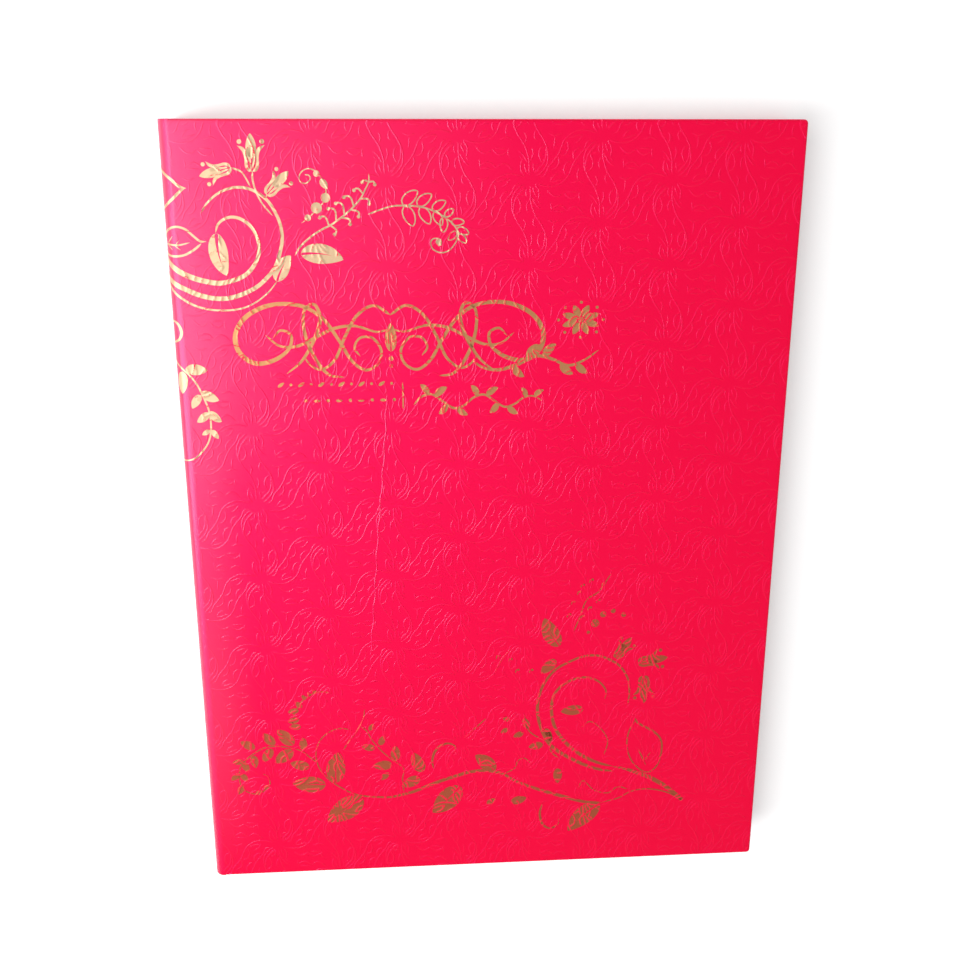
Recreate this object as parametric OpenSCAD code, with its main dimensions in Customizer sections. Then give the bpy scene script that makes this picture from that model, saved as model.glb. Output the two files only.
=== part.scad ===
// Stamp album: a case-bound stockbook with clear pocket strips on its leaves.
// It lies closed on its back cover. The spine is towards -X, the head towards +Y
// and the front cover is on top. The origin is the middle of the footprint.

/* [Album] */
// Width from the spine to the fore-edge
album_w = 230; // [200:1:260]
// Height from the tail to the head
album_h = 305; // [290:1:330]
// Thickness when closed
album_t = 22; // [20:0.5:30]

/* [Case] */
// Thickness of the embossed paper that covers the case
wrap_t = 0.3; // [0.2:0.05:0.4]
// Thickness of the board in each cover
board_t = 2.4; // [1.8:0.1:2.8]
// Thickness of the board in the spine
spine_board_t = 2; // [1.5:0.1:2.4]
// Thickness of the lining paper inside the case
lining_t = 0.2; // [0.1:0.05:0.3]
// Width of the cover paper that is folded over on to the inside
turn_in = 15; // [8:1:25]
// Outer radius of the paper joint between the spine and each cover
joint_r = 4; // [3.2:0.1:5]

/* [Guards] */
// Width of the guard strips, out from the spine
guard_w = 8; // [5:0.5:14]
// Gap between the guard strips and the lining of each cover
guard_gap = 0.3; // [0.2:0.05:0.5]

/* [Leaves] */
// How far the covers reach past the leaves at the head and the tail
head_square = 4; // [2:0.5:7]
// How far the covers reach past the leaves at the fore-edge
fore_square = 5; // [2:0.5:9]
// Thickness of the card of each leaf
card_t = 0.5; // [0.3:0.05:0.6]
// Thickness of each glassine interleaf
interleaf_t = 0.1; // [0.05:0.05:0.15]
// Distance from the fold at the guards to the glassine
interleaf_gap = 0.5; // [0.3:0.1:1]
// Thickness of one layer of linen hinge tape
tape_t = 0.15; // [0.1:0.01:0.2]
// How far the linen tape reaches on to the card
tape_reach = 10; // [6:1:18]
// Distance from the fold at the guards to the card
hinge_gap = 2.5; // [2:0.1:4]

/* [Pocket strips] */
// Number of strips on each side of a leaf
strip_count = 9; // [6:1:10]
// Height of one strip
strip_h = 26; // [18:0.5:27]
// Thickness of the clear film
film_t = 0.12; // [0.08:0.02:0.16]
// Gap between the film and the card, where a stamp slides in
pocket_gap = 0.12; // [0.08:0.02:0.16]
// Height of the seam that closes the foot of a pocket
foot_seam = 3; // [1:0.5:5]
// Width of the seam that closes each end of a pocket
end_seam = 2; // [1:0.5:5]
// Bare card between the linen tape and the strips
spine_margin = 4; // [1:0.5:10]
// Bare card between the strips and the fore-edge
fore_margin = 5; // [1:0.5:10]
// Bare card below the lowest strip
tail_margin = 8; // [3:0.5:12]
// Bare card above the space of the highest strip
head_margin = 10; // [3:0.5:14]

/* [Hidden] */
leaf_count = 8;
interleaf_count = leaf_count - 1;

// Cuts run this far past the faces that they open
over = 1;

// Case: planes of the two cover panels and of the spine
inner_face = wrap_t + board_t;          // inside of a cover's board
turned_face = inner_face + wrap_t;      // inside of a cover's folded paper
panel_t = turned_face + lining_t;       // whole cover
spine_inner = wrap_t + spine_board_t;   // inside of the spine's board
spine_turned = spine_inner + wrap_t;    // inside of the spine's folded paper
spine_t = spine_turned + lining_t;      // whole spine
left = -album_w / 2;                    // outer face of the spine
right = album_w / 2;                    // fore-edge of the covers
panel_left = left + joint_r;            // spine side of a cover panel

// Leaves: their outline, and the levels at which sheets are bound in
leaf_h = album_h - 2 * head_square;
leaf_right = right - fore_square;
fold_x = left + spine_t + guard_w;      // fold of every sheet, at the guards' edge
card_left = fold_x + hinge_gap;
level_count = 2 * leaf_count;
level_pitch = (album_t - 2 * panel_t) / level_count;

// Pocket strips
strip_left = card_left + tape_reach + spine_margin;
strip_right = leaf_right - fore_margin;
strip_pitch = (leaf_h - tail_margin - head_margin) / strip_count;

// Leaves are bound in at the odd levels, and interleaves at the even ones between
function level_z(level) = panel_t + level * level_pitch;
function leaf_z(leaf) = level_z(2 * leaf - 1);
function interleaf_z(sheet) = level_z(2 * sheet);
// Half of what lies between two guard strips at a level, or the gap to the case
function sheet_half(level) =
    (level == 0 || level == level_count) ? guard_gap
    : (level % 2 == 1) ? tape_t
    : interleaf_t / 2;

cover_red = [0.89, 0.05, 0.22];
grey_board = [0.62, 0.60, 0.56];
ivory = [0.93, 0.90, 0.82];
linen = [0.90, 0.88, 0.84];
clear = [0.80, 0.86, 0.90, 0.45];
glassine = [0.90, 0.92, 0.90, 0.60];

// Solid block between its lowest and highest corner
module block(low, high) {
    translate(low) cube(high - low);
}

// Turns a piece of the back cover over into the same piece of the front cover
module turned_over() {
    translate([0, 0, album_t]) mirror([0, 0, 1]) children();
}

// Quarter ring about a joint's centre, from the spine to a cover, for |y| < half_h
module roll(outer_r, inner_r, half_h) {
    translate([panel_left, half_h, joint_r]) rotate([90, 0, 0])
        linear_extrude(2 * half_h) intersection() {
            difference() {
                circle(outer_r, $fn = 96);
                circle(inner_r, $fn = 96);
            }
            translate([-outer_r - over, -outer_r - over]) square(outer_r + over);
        }
}

// Cover paper of one cover: outer face, three folded edges and the turn-ins
module cover_wrap() {
    color(cover_red) difference() {
        block([panel_left, -album_h / 2, 0], [right, album_h / 2, turned_face]);
        block([panel_left - over, -album_h / 2 + wrap_t, wrap_t],
              [right - wrap_t, album_h / 2 - wrap_t, inner_face]);
        block([panel_left - over, -album_h / 2 + turn_in, inner_face - wrap_t],
              [right - turn_in, album_h / 2 - turn_in, turned_face + over]);
    }
}

module cover_board() {
    color(grey_board)
        block([panel_left + lining_t, -album_h / 2 + wrap_t, wrap_t],
              [right - wrap_t, album_h / 2 - wrap_t, inner_face]);
}

// Lining paper of one cover. It fills the step inside the turn-ins, lies on
// their borders and folds down over the edge of the board beside the joint.
module cover_liner() {
    color(ivory) difference() {
        union() {
            block([panel_left, -leaf_h / 2, inner_face], [leaf_right, leaf_h / 2, panel_t]);
            block([panel_left, -leaf_h / 2, wrap_t], [panel_left + lining_t, leaf_h / 2, turned_face]);
        }
        difference() {
            block([panel_left - over, -leaf_h / 2 - over, inner_face],
                  [leaf_right + over, leaf_h / 2 + over, turned_face]);
            block([panel_left - 2 * over, -album_h / 2 + turn_in, inner_face - over],
                  [right - turn_in, album_h / 2 - turn_in, turned_face + over]);
        }
    }
}

module spine_wrap() {
    color(cover_red) difference() {
        block([left, -album_h / 2, joint_r], [left + spine_turned, album_h / 2, album_t - joint_r]);
        block([left + wrap_t, -album_h / 2 + wrap_t, joint_r - over],
              [left + spine_inner, album_h / 2 - wrap_t, album_t - joint_r + over]);
        block([left + spine_inner - wrap_t, -album_h / 2 + turn_in, joint_r - over],
              [left + spine_turned + over, album_h / 2 - turn_in, album_t - joint_r + over]);
    }
}

module spine_board() {
    color(grey_board)
        block([left + wrap_t, -album_h / 2 + wrap_t, joint_r + lining_t],
              [left + spine_inner, album_h / 2 - wrap_t, album_t - joint_r - lining_t]);
}

// Lining paper of the spine. It folds over both long edges of the board.
module spine_lining() {
    color(ivory) difference() {
        block([left + wrap_t, -leaf_h / 2, joint_r], [left + spine_t, leaf_h / 2, album_t - joint_r]);
        block([left + wrap_t - over, -leaf_h / 2 - over, joint_r + lining_t],
              [left + spine_inner, leaf_h / 2 + over, album_t - joint_r - lining_t]);
        for (side = [-1, 1])
            block([left + wrap_t - over, min(side * (leaf_h / 2 + over), side * (album_h / 2 - turn_in)),
                   joint_r - over],
                  [left + spine_turned, max(side * (leaf_h / 2 + over), side * (album_h / 2 - turn_in)),
                   album_t - joint_r + over]);
    }
}

// Cover paper between the spine and a cover, folded double at the head and tail
module joint_wrap() {
    color(cover_red) difference() {
        roll(joint_r, joint_r - 2 * wrap_t, album_h / 2);
        roll(joint_r - wrap_t, joint_r - 3 * wrap_t, album_h / 2 - turn_in);
    }
}

// Lining paper between the spine and a cover, stepped over the folded ends
module joint_lining() {
    color(ivory) difference() {
        roll(joint_r - wrap_t, joint_r - 2 * wrap_t - lining_t, leaf_h / 2);
        difference() {
            roll(joint_r, joint_r - 2 * wrap_t, album_h / 2);
            roll(joint_r + over, joint_r - 3 * wrap_t, album_h / 2 - turn_in);
        }
    }
}

// Card strips between the bound edges of the sheets, glued to the spine's lining
module guard_strips() {
    color(ivory) for (level = [0:level_count - 1])
        block([left + spine_t, -leaf_h / 2, level_z(level) + sheet_half(level)],
              [fold_x, leaf_h / 2, level_z(level + 1) - sheet_half(level + 1)]);
}

module leaf_card(leaf) {
    color(ivory)
        block([card_left, -leaf_h / 2, leaf_z(leaf) - card_t / 2],
              [leaf_right, leaf_h / 2, leaf_z(leaf) + card_t / 2]);
}

// Two layers of linen: bound together between the guards, then one on each face
// of the card
module leaf_tape(leaf) {
    outer = card_t / 2 + tape_t;
    tape_end = hinge_gap + tape_reach;
    color(linen) translate([fold_x, leaf_h / 2, leaf_z(leaf)]) rotate([90, 0, 0])
        linear_extrude(leaf_h) polygon([
            [-guard_w, -tape_t], [0, -tape_t], [hinge_gap, -outer], [tape_end, -outer],
            [tape_end, -card_t / 2], [hinge_gap, -card_t / 2],
            [0, 0],
            [hinge_gap, card_t / 2], [tape_end, card_t / 2],
            [tape_end, outer], [hinge_gap, outer], [0, tape_t], [-guard_w, tape_t]
        ]);
}

// One pocket strip with its foot on y = 0, lying on the plane z = 0. The film
// stands off the card, and seams close its foot and its two ends.
module pocket_strip() {
    difference() {
        block([strip_left, 0, 0], [strip_right, strip_h, pocket_gap + film_t]);
        block([strip_left + end_seam, foot_seam, -over],
              [strip_right - end_seam, strip_h + over, pocket_gap]);
    }
}

// All strips on one face of a leaf: face 1 looks at the front cover, -1 at the back
module leaf_strips(leaf, face) {
    color(clear) for (row = [0:strip_count - 1])
        translate([0, -leaf_h / 2 + tail_margin + row * strip_pitch, leaf_z(leaf) + face * card_t / 2])
            mirror([0, 0, face < 0 ? 1 : 0]) pocket_strip();
}

module interleaf(sheet) {
    color(glassine)
        block([fold_x + interleaf_gap, -leaf_h / 2, interleaf_z(sheet) - interleaf_t / 2],
              [leaf_right, leaf_h / 2, interleaf_z(sheet) + interleaf_t / 2]);
}

cover_board();  // back_board
cover_wrap();  // back_wrap
cover_liner();  // back_liner
spine_board();
spine_wrap();
spine_lining();
guard_strips();
joint_wrap();  // back_joint_wrap
joint_lining();  // back_joint_lining
turned_over() joint_wrap();  // front_joint_wrap
turned_over() joint_lining();  // front_joint_lining
turned_over() cover_board();  // front_board
turned_over() cover_wrap();  // front_wrap
turned_over() cover_liner();  // front_liner
for (leaf = [1:leaf_count]) {
    leaf_card(leaf);
    leaf_tape(leaf);
    leaf_strips(leaf, 1);
    leaf_strips(leaf, -1);
}
for (sheet = [1:interleaf_count])
    interleaf(sheet);
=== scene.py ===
import math

import bmesh
import bpy
import numpy as np
from mathutils import Matrix, Vector


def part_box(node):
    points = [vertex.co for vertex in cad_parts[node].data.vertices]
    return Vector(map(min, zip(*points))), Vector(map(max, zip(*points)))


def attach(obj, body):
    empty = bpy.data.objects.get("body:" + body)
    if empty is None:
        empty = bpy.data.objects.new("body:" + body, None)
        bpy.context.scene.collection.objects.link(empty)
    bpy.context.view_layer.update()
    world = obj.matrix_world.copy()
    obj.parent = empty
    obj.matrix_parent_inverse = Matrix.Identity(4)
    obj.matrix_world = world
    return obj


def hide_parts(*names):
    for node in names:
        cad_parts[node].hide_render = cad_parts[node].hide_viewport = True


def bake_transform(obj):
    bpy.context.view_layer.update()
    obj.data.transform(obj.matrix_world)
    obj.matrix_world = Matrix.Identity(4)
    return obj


# Stamp album: embossed paper case with foil ornament, clear pocket strips on the
# leaves, glassine between them. Shapes are worked out in millimetres.
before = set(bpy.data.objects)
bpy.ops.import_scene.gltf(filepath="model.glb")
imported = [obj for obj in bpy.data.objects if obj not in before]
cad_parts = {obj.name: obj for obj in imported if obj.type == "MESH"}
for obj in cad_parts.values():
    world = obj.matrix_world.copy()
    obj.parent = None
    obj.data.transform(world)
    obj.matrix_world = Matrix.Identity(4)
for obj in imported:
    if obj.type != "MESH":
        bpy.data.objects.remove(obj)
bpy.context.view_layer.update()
scene = bpy.context.scene
quarter = math.pi / 2


def nodeBox(node):
    # lowest and highest corner of a CAD node in millimetres
    low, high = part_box(node)
    return np.array(low) * 1000, np.array(high) * 1000


wrapLow, wrapHigh = nodeBox("front_wrap")
rollLow, rollHigh = nodeBox("front_joint_wrap")
spineLow, spineHigh = nodeBox("spine_wrap")
boardHigh = nodeBox("front_board")[1]
case = {
    "left": spineLow[0],
    "right": wrapHigh[0],
    "halfHeight": wrapHigh[1],
    "top": wrapHigh[2],
    "middle": (spineLow[2] + spineHigh[2]) / 2,
    "paper": wrapHigh[2] - boardHigh[2],        # thickness of the cover paper
    "rollRadius": rollHigh[0] - rollLow[0],     # outside of the joint
    "panelFold": wrapHigh[2] - wrapLow[2],      # outer face to the folded-in paper
    "spineFold": spineHigh[0] - spineLow[0],
    "turnIn": 15.0,                             # paper folded on to the inside
}
# distances along the folded sheet, from the middle of the spine
case["spineRun"] = case["top"] - case["middle"] - case["rollRadius"]
case["panelStart"] = case["spineRun"] + quarter * case["rollRadius"]
case["end"] = case["panelStart"] + case["right"] - case["left"] - case["rollRadius"]
# cover drawings are measured from the spine edge and the tail edge of the panel
case["acrossShift"] = case["panelStart"] - case["rollRadius"]
print("case", {k: round(float(v), 3) for k, v in case.items()})

# mesh helpers


def gridFaces(rows, columns, flip=False):
    # face (i, j) joins grid points (i, j), (i+1, j), (i+1, j+1) and (i, j+1)
    i, j = np.meshgrid(np.arange(rows - 1), np.arange(columns - 1), indexing="ij")
    faces = (i * columns + j).reshape(-1, 1) + np.array([0, columns, columns + 1, 1])
    return faces[:, ::-1] if flip else faces


def joinParts(parts):
    # stacks (points, faces) pairs into one list of points and one of faces
    starts = np.cumsum([0] + [len(part[0]) for part in parts[:-1]])
    return (np.concatenate([part[0] for part in parts]),
            np.concatenate([part[1] + start for part, start in zip(parts, starts)]))


def putIn(name, points, faces, material, values=None, merge=0.0):
    # makes the object from points in millimetres and faces of four point numbers; values are
    # numbers for each point, and merge is the distance under which points become one
    mesh = bpy.data.meshes.new(name)
    mesh.vertices.add(len(points))
    mesh.vertices.foreach_set("co", (np.asarray(points) / 1000).astype(np.float32).ravel())
    mesh.loops.add(faces.size)
    mesh.loops.foreach_set("vertex_index", faces.astype(np.int32).ravel())
    mesh.polygons.add(len(faces))
    mesh.polygons.foreach_set("loop_start", np.arange(0, faces.size, faces.shape[1], dtype=np.int32))
    for key, value in (values or {}).items():
        layer = mesh.attributes.new(key, "FLOAT", "POINT")
        layer.data.foreach_set("value", np.asarray(value, np.float32).ravel())
    mesh.update(calc_edges=True)
    mesh.validate()
    if merge:
        work = bmesh.new()
        work.from_mesh(mesh)
        bmesh.ops.remove_doubles(work, verts=work.verts, dist=merge / 1000)
        bmesh.ops.dissolve_degenerate(work, edges=work.edges, dist=merge / 2000)
        work.to_mesh(mesh)
        work.free()
    mesh.polygons.foreach_set("use_smooth", np.ones(len(mesh.polygons), bool))
    mesh.set_sharp_from_angle(angle=math.radians(50))
    mesh.materials.append(material)
    mesh.update()
    piece = bpy.data.objects.new(name, mesh)
    scene.collection.objects.link(piece)
    return piece


def smoothPath(controls, step):
    # Catmull-Rom curve through the controls, then points at equal distances along it;
    # columns after the first two, such as a width, are carried along
    c = np.asarray(controls, float)
    c = np.vstack([2 * c[0] - c[1], c, 2 * c[-1] - c[-2]])
    a, b, d, e = c[:-3, None], c[1:-2, None], c[2:-1, None], c[3:, None]
    t = np.linspace(0, 1, 16, endpoint=False)[None, :, None]
    curve = 0.5 * (2 * b + (d - a) * t + (2 * a - 5 * b + 4 * d - e) * t**2
                   + (3 * b - a - 3 * d + e) * t**3)
    curve = np.vstack([curve.reshape(-1, c.shape[1]), c[-2:-1]])
    run = np.concatenate([[0], np.cumsum(np.hypot(*np.diff(curve[:, :2], axis=0).T))])
    count = max(3, int(round(run[-1] / step)) + 1)
    at = np.linspace(0, run[-1], count)
    return np.stack([np.interp(at, run, column) for column in curve.T], -1), run[-1]


def smoothStep(t):
    # 3 t^2 - 2 t^3 between 0 and 1
    t = np.clip(t, 0, 1)
    return t * t * (3 - 2 * t)


def leftNormals(path):
    # unit vectors a quarter turn to the left of the path's own direction
    direction = np.gradient(path[:, :2], axis=0)
    direction /= np.maximum(np.hypot(*direction.T), 1e-9)[:, None]
    return np.stack([-direction[:, 1], direction[:, 0]], -1)


# the folded sheet

wrap = {
    "cornerRadius": 1.6,
    "edgeRadius": 0.8,
    "innerRadius": 0.4,
    "panelLines": 60,
    "heightLines": 84,
    "stepOut": 0.35,          # the turn-in steps off a board between these two distances
    "stepIn": 0.05,           # from where the roll begins and ends
    "stepRun": 0.3,
    "broadSwell": 0.05,       # how far the paper and board are off flat
    "narrowSwell": 0.03,
    "rollFade": 12.0,         # the swell fades out towards the roll and the free edges
    "edgeFade": 9.0,
}


def paperSwell(s, y):
    # a broad sine of the width times one of the height, plus a narrower slanting sine
    return (wrap["broadSwell"] * np.sin(s / 23.0 + 1.1) * np.sin(y / 31.0 + 0.4)
            + wrap["narrowSwell"] * np.sin(s / 11.0 + y / 17.0))


def onCover(s, y, depth, side):
    # the sheet runs up the spine from its middle (s = 0), round a quarter roll and
    # level across the board; depth goes inwards, and the back is the mirror of the front
    radius = case["rollRadius"]
    turn = np.clip((s - case["spineRun"]) / radius, 0, quarter)
    x = (case["left"] + radius - (radius - depth) * np.cos(turn)
         + np.maximum(s - case["panelStart"], 0))
    z = np.minimum(s, case["spineRun"]) + (radius - depth) * np.sin(turn)
    return np.stack([x, y, case["middle"] + side * z], -1)


def skinRise(s, y):
    # the swell times a smooth step from the roll and an even fade to the three free edges
    fromEnd = np.clip((case["end"] - s) / wrap["edgeFade"], 0, 1)
    fromSides = np.clip((case["halfHeight"] - np.abs(y)) / wrap["edgeFade"], 0, 1)
    fromRoll = smoothStep((s - case["panelStart"]) / wrap["rollFade"])
    return paperSwell(s, y) * fromRoll * (fromSides * fromEnd)


def onFace(s, y, raised, side):
    # a point this far above the paper's outer face
    return onCover(s, y, -skinRise(s, y) - raised, side)


def foldDepth(s):
    # depth of the folded-in paper: over the spine board, then double paper on the roll, then
    # over the cover board, with an even slope at each step
    roll = 2 * case["paper"]
    upSpine = np.clip((s - case["spineRun"] + wrap["stepOut"]) / wrap["stepRun"], 0, 1)
    upPanel = np.clip((s - case["panelStart"] - wrap["stepIn"]) / wrap["stepRun"], 0, 1)
    return (case["spineFold"] + (roll - case["spineFold"]) * upSpine
            + (case["panelFold"] - roll) * upPanel)


def wrapShell(side, inner):
    # outer face as a grid, then a profile (rounded edge, wall, rounded edge, turn-in)
    # carried round the open outline; inner gives the same shell one paper deeper
    corner, halfHeight, end = wrap["cornerRadius"], case["halfHeight"], case["end"]
    across = np.concatenate([
        np.linspace(0, case["spineRun"] - wrap["stepOut"], 5),
        np.linspace(case["spineRun"] - wrap["stepIn"], case["panelStart"] + wrap["stepIn"], 17),
        np.linspace(case["panelStart"] + wrap["stepOut"], end - corner, wrap["panelLines"]),
    ])
    upward = np.linspace(corner - halfHeight, halfHeight - corner, wrap["heightLines"])
    gap = case["paper"] if inner else 0.0
    s, y = np.meshgrid(across, upward, indexing="ij")
    parts = [(onCover(s, y, gap - skinRise(s, y), side).reshape(-1, 3),
              gridFaces(len(across), len(upward), flip=(side < 0) != inner))]
    # outline from the tail of the spine round both corners to the head of the spine
    bend = np.linspace(0, quarter, 6)[1:-1]
    outS = np.concatenate([across, end - corner + corner * np.sin(bend), np.full(len(upward), end),
                           end - corner + corner * np.cos(bend), across[::-1]])
    outY = np.concatenate([np.full(len(across), -halfHeight), corner - halfHeight - corner * np.cos(bend),
                           upward, halfHeight - corner + corner * np.sin(bend),
                           np.full(len(across), halfHeight)])
    normS = np.concatenate([np.zeros(len(across)), -np.sin(bend), np.full(len(upward), -1.0),
                            -np.cos(bend), np.zeros(len(across))])
    normY = np.concatenate([np.ones(len(across)), np.cos(bend), np.zeros(len(upward)),
                            -np.sin(bend), -np.ones(len(across))])
    fold = foldDepth(outS)
    outer = np.minimum(wrap["edgeRadius"], fold / 2)
    under = np.minimum(wrap["innerRadius"], fold / 2)
    outerIn, underIn = np.maximum(outer - gap, 0.05), np.maximum(under - gap, 0.05)
    arc = np.linspace(0, quarter, 6)[:, None]
    inset = np.vstack([np.full((1, len(outS)), corner),
                       outer - outerIn * np.sin(arc),
                       gap + underIn * (1 - np.cos(arc)),
                       np.full((1, len(outS)), 6.0), np.full((1, len(outS)), case["turnIn"])])
    depth = np.vstack([np.full((1, len(outS)), gap),
                       gap + outerIn * (1 - np.cos(arc)),
                       fold - gap - underIn * (1 - np.sin(arc)),
                       np.tile(fold - gap, (2, 1))])
    ringS = np.minimum(outS + normS * inset, end - inset)
    ringY = np.clip(outY + normY * inset, inset - halfHeight, halfHeight - inset)
    points = onCover(ringS, ringY, depth, side)
    parts.append((points.reshape(-1, 3),
                  gridFaces(len(inset), len(outS), flip=(side < 0) != inner)))
    return parts, points[-1]


def coverPaper(side):
    # both shells of the paper, and the strip that joins them along the turn-in's raw edge
    outerParts, outerLast = wrapShell(side, False)
    innerParts, innerLast = wrapShell(side, True)
    strip = np.stack([outerLast, innerLast]).reshape(-1, 3)
    return outerParts + innerParts + [(strip, gridFaces(2, len(outerLast), flip=side < 0))]


# emboss

emboss = {
    "columnPitch": 25.76,
    "rowPitch": 30.0,
    "firstColumn": 129.9,     # a spray's centre, from the spine edge and the tail edge
    "firstRow": 254.1,
    "halfWidth": 0.36,
    "height": 0.11,
    "step": 1.2,
    "onSpine": 0.45,          # the pull of the fold flattens the ridges there
    "taper": 1.3,             # a ridge narrows over this length at both ends
    "blunt": 0.12,
    "margin": 0.1,            # bare paper inside the rounded edges
    "creaseStep": 1.6,
    "creaseWaver": 0.25,
    "creaseHalfWidth": 0.3,
    "creaseHeight": 0.12,
    # one half of a spray, in millimetres from its centre; the other half is turned round it
    "strokes": [
        # the long tendril to the next spray of the column, and the lines beside it
        [(-0.1, 2.0), (-0.3, 4.2), (-0.3, 6.4), (-0.6, 7.9), (-1.0, 9.4), (-1.6, 11.0), (-2.2, 12.3),
         (-3.3, 14.0), (-4.4, 15.5), (-5.3, 17.3), (-6.0, 18.9), (-6.3, 20.4), (-6.4, 22.2), (-6.3, 23.8),
         (-5.6, 25.4), (-4.7, 26.6), (-3.4, 27.9), (-1.9, 28.5)],
        [(1.8, 2.2), (3.2, 3.8), (4.5, 5.4), (5.3, 7.0), (5.7, 8.8), (5.8, 10.6), (5.6, 12.0)],
        [(1.5, 2.6), (2.3, 3.3), (3.5, 4.6), (4.4, 5.7)],
        [(4.5, 5.8), (3.8, 6.8), (3.2, 8.4), (3.2, 9.8), (3.8, 11.2), (4.8, 11.8), (5.6, 12.1)],
        [(1.1, 2.7), (1.4, 3.6), (1.3, 4.6), (1.0, 5.5), (0.8, 6.0)],
        [(1.7, 4.8), (2.3, 5.3), (3.3, 5.8)],
        [(0.0, 6.6), (0.5, 7.3), (0.9, 8.3), (1.1, 9.3), (0.9, 10.4), (0.5, 11.3)],
        [(-1.0, 2.2), (-1.4, 3.6), (-1.9, 4.6), (-2.3, 5.8)],
        [(-1.9, 1.2), (-2.0, 1.9), (-2.7, 2.5), (-3.2, 3.3), (-3.4, 4.4), (-3.3, 5.8), (-3.1, 6.6),
         (-2.8, 7.3)],
        [(-2.9, 7.2), (-3.4, 7.8), (-4.1, 8.3)],
        [(-0.5, 5.8), (-1.3, 6.8), (-2.2, 8.3), (-3.1, 9.4), (-4.4, 10.0)],
        [(-2.2, 12.5), (-1.7, 13.3), (-1.4, 14.2), (-1.4, 15.0), (-1.8, 16.0), (-2.4, 16.4)],
        # the branch to the next column, with its loops
        [(3.6, 1.0), (4.8, 1.3), (5.5, 1.9), (5.9, 3.0), (6.5, 4.4), (7.8, 5.9), (9.0, 7.4), (10.0, 8.9),
         (10.5, 9.9), (11.1, 11.4), (11.7, 13.0), (12.5, 14.2), (13.8, 15.5), (14.9, 16.2), (16.4, 16.9),
         (18.6, 17.2), (21.1, 16.9), (23.6, 16.1)],
        [(9.8, 8.4), (10.2, 7.6), (10.5, 6.4), (10.1, 5.4), (9.5, 4.4), (8.6, 3.9), (7.5, 3.7)],
        [(13.0, 13.4), (13.4, 12.5), (13.7, 11.4), (13.4, 10.2), (13.0, 9.3), (12.0, 8.6), (10.9, 8.4)],
        [(8.6, 15.0), (8.7, 13.8), (8.7, 12.5), (8.4, 11.4), (8.2, 10.7)],
        [(6.2, 16.1), (7.5, 15.7), (8.6, 15.1), (9.7, 15.7), (11.2, 16.0)],
        [(-7.2, 0.5), (-8.0, -0.9), (-8.9, -1.8), (-10.3, -2.3)],
        [(-7.2, 0.6), (-9.1, 0.4), (-10.9, -0.3), (-12.2, -0.6)],
        # the leaf that lies across
        [(7.5, -7.7), (7.8, -8.9), (8.0, -10.2), (7.8, -11.0)],
        [(7.9, -10.2), (8.6, -9.6), (9.7, -8.9), (10.9, -8.7), (12.2, -9.3), (13.1, -10.3), (13.7, -10.7)],
        [(13.7, -10.7), (14.7, -9.8), (15.9, -9.2), (17.5, -9.6), (18.7, -10.8), (19.7, -11.7)],
        [(8.4, -10.8), (10.3, -10.9), (12.8, -11.0)],
    ],
    # a long crease in the paper, from the same two edges
    "crease": [(77.0, 207.0), (76.0, 190.0), (74.4, 172.0), (72.2, 150.0), (70.2, 124.0), (68.0, 100.0)],
}


def sprayCentres(margin=24):
    # half-drop lattice: each column stands half a row off the next
    columns = (case["end"] + margin + emboss["firstColumn"]) / emboss["columnPitch"]
    reach = int(math.ceil(columns)) + 4
    column = np.arange(-reach, reach)
    row = np.arange(-20, 21)
    i, j = [a.ravel() for a in np.meshgrid(column, row, indexing="ij")]
    s = emboss["firstColumn"] + case["acrossShift"] + i * emboss["columnPitch"]
    y = emboss["firstRow"] - case["halfHeight"] + (j + 0.5 * (i % 2)) * emboss["rowPitch"]
    keep = (np.abs(s) < case["end"] + margin) & (np.abs(y) < case["halfHeight"] + margin)
    return np.stack([s[keep], y[keep]], -1)


def ridgeFade(s):
    # 1 on the cover, less on the roll and the spine
    return emboss["onSpine"] + (1 - emboss["onSpine"]) * smoothStep((s - case["panelStart"] + 2) / 5)


def ridgeRibbon(path, length, halfWidth, height):
    # a low ridge: its foot on both sides just under the paper and its crest between, and
    # narrowing to a point at both ends
    run = np.linspace(0, length, len(path))
    taper = np.clip(np.minimum(run, length - run) / emboss["taper"], emboss["blunt"], 1) ** 0.6
    across = np.array([-1.0, 0.0, 1.0]) * halfWidth
    up = np.array([-0.2, 1.0, -0.2]) * height
    flat = path[:, None, :2] + leftNormals(path)[:, None, :] * across[None, :, None] * taper[:, None, None]
    raised = up[None, :] * np.where(up > 0, taper[:, None], 1.0)
    return np.concatenate([flat, raised[..., None]], -1).reshape(-1, 3), gridFaces(len(path), 3)


def sprayRidges():
    # every stroke of one spray, and the same strokes turned half round its centre
    ribbons, middles = [], []
    for controls in emboss["strokes"]:
        for sign in (1, -1):
            path, length = smoothPath(np.array(controls) * sign, emboss["step"])
            ribbons.append(ridgeRibbon(path, length, emboss["halfWidth"], emboss["height"]))
            middles.append(np.stack([path[:-1, :2], path[1:, :2]], 1))
    return joinParts(ribbons), np.concatenate(middles)


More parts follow.
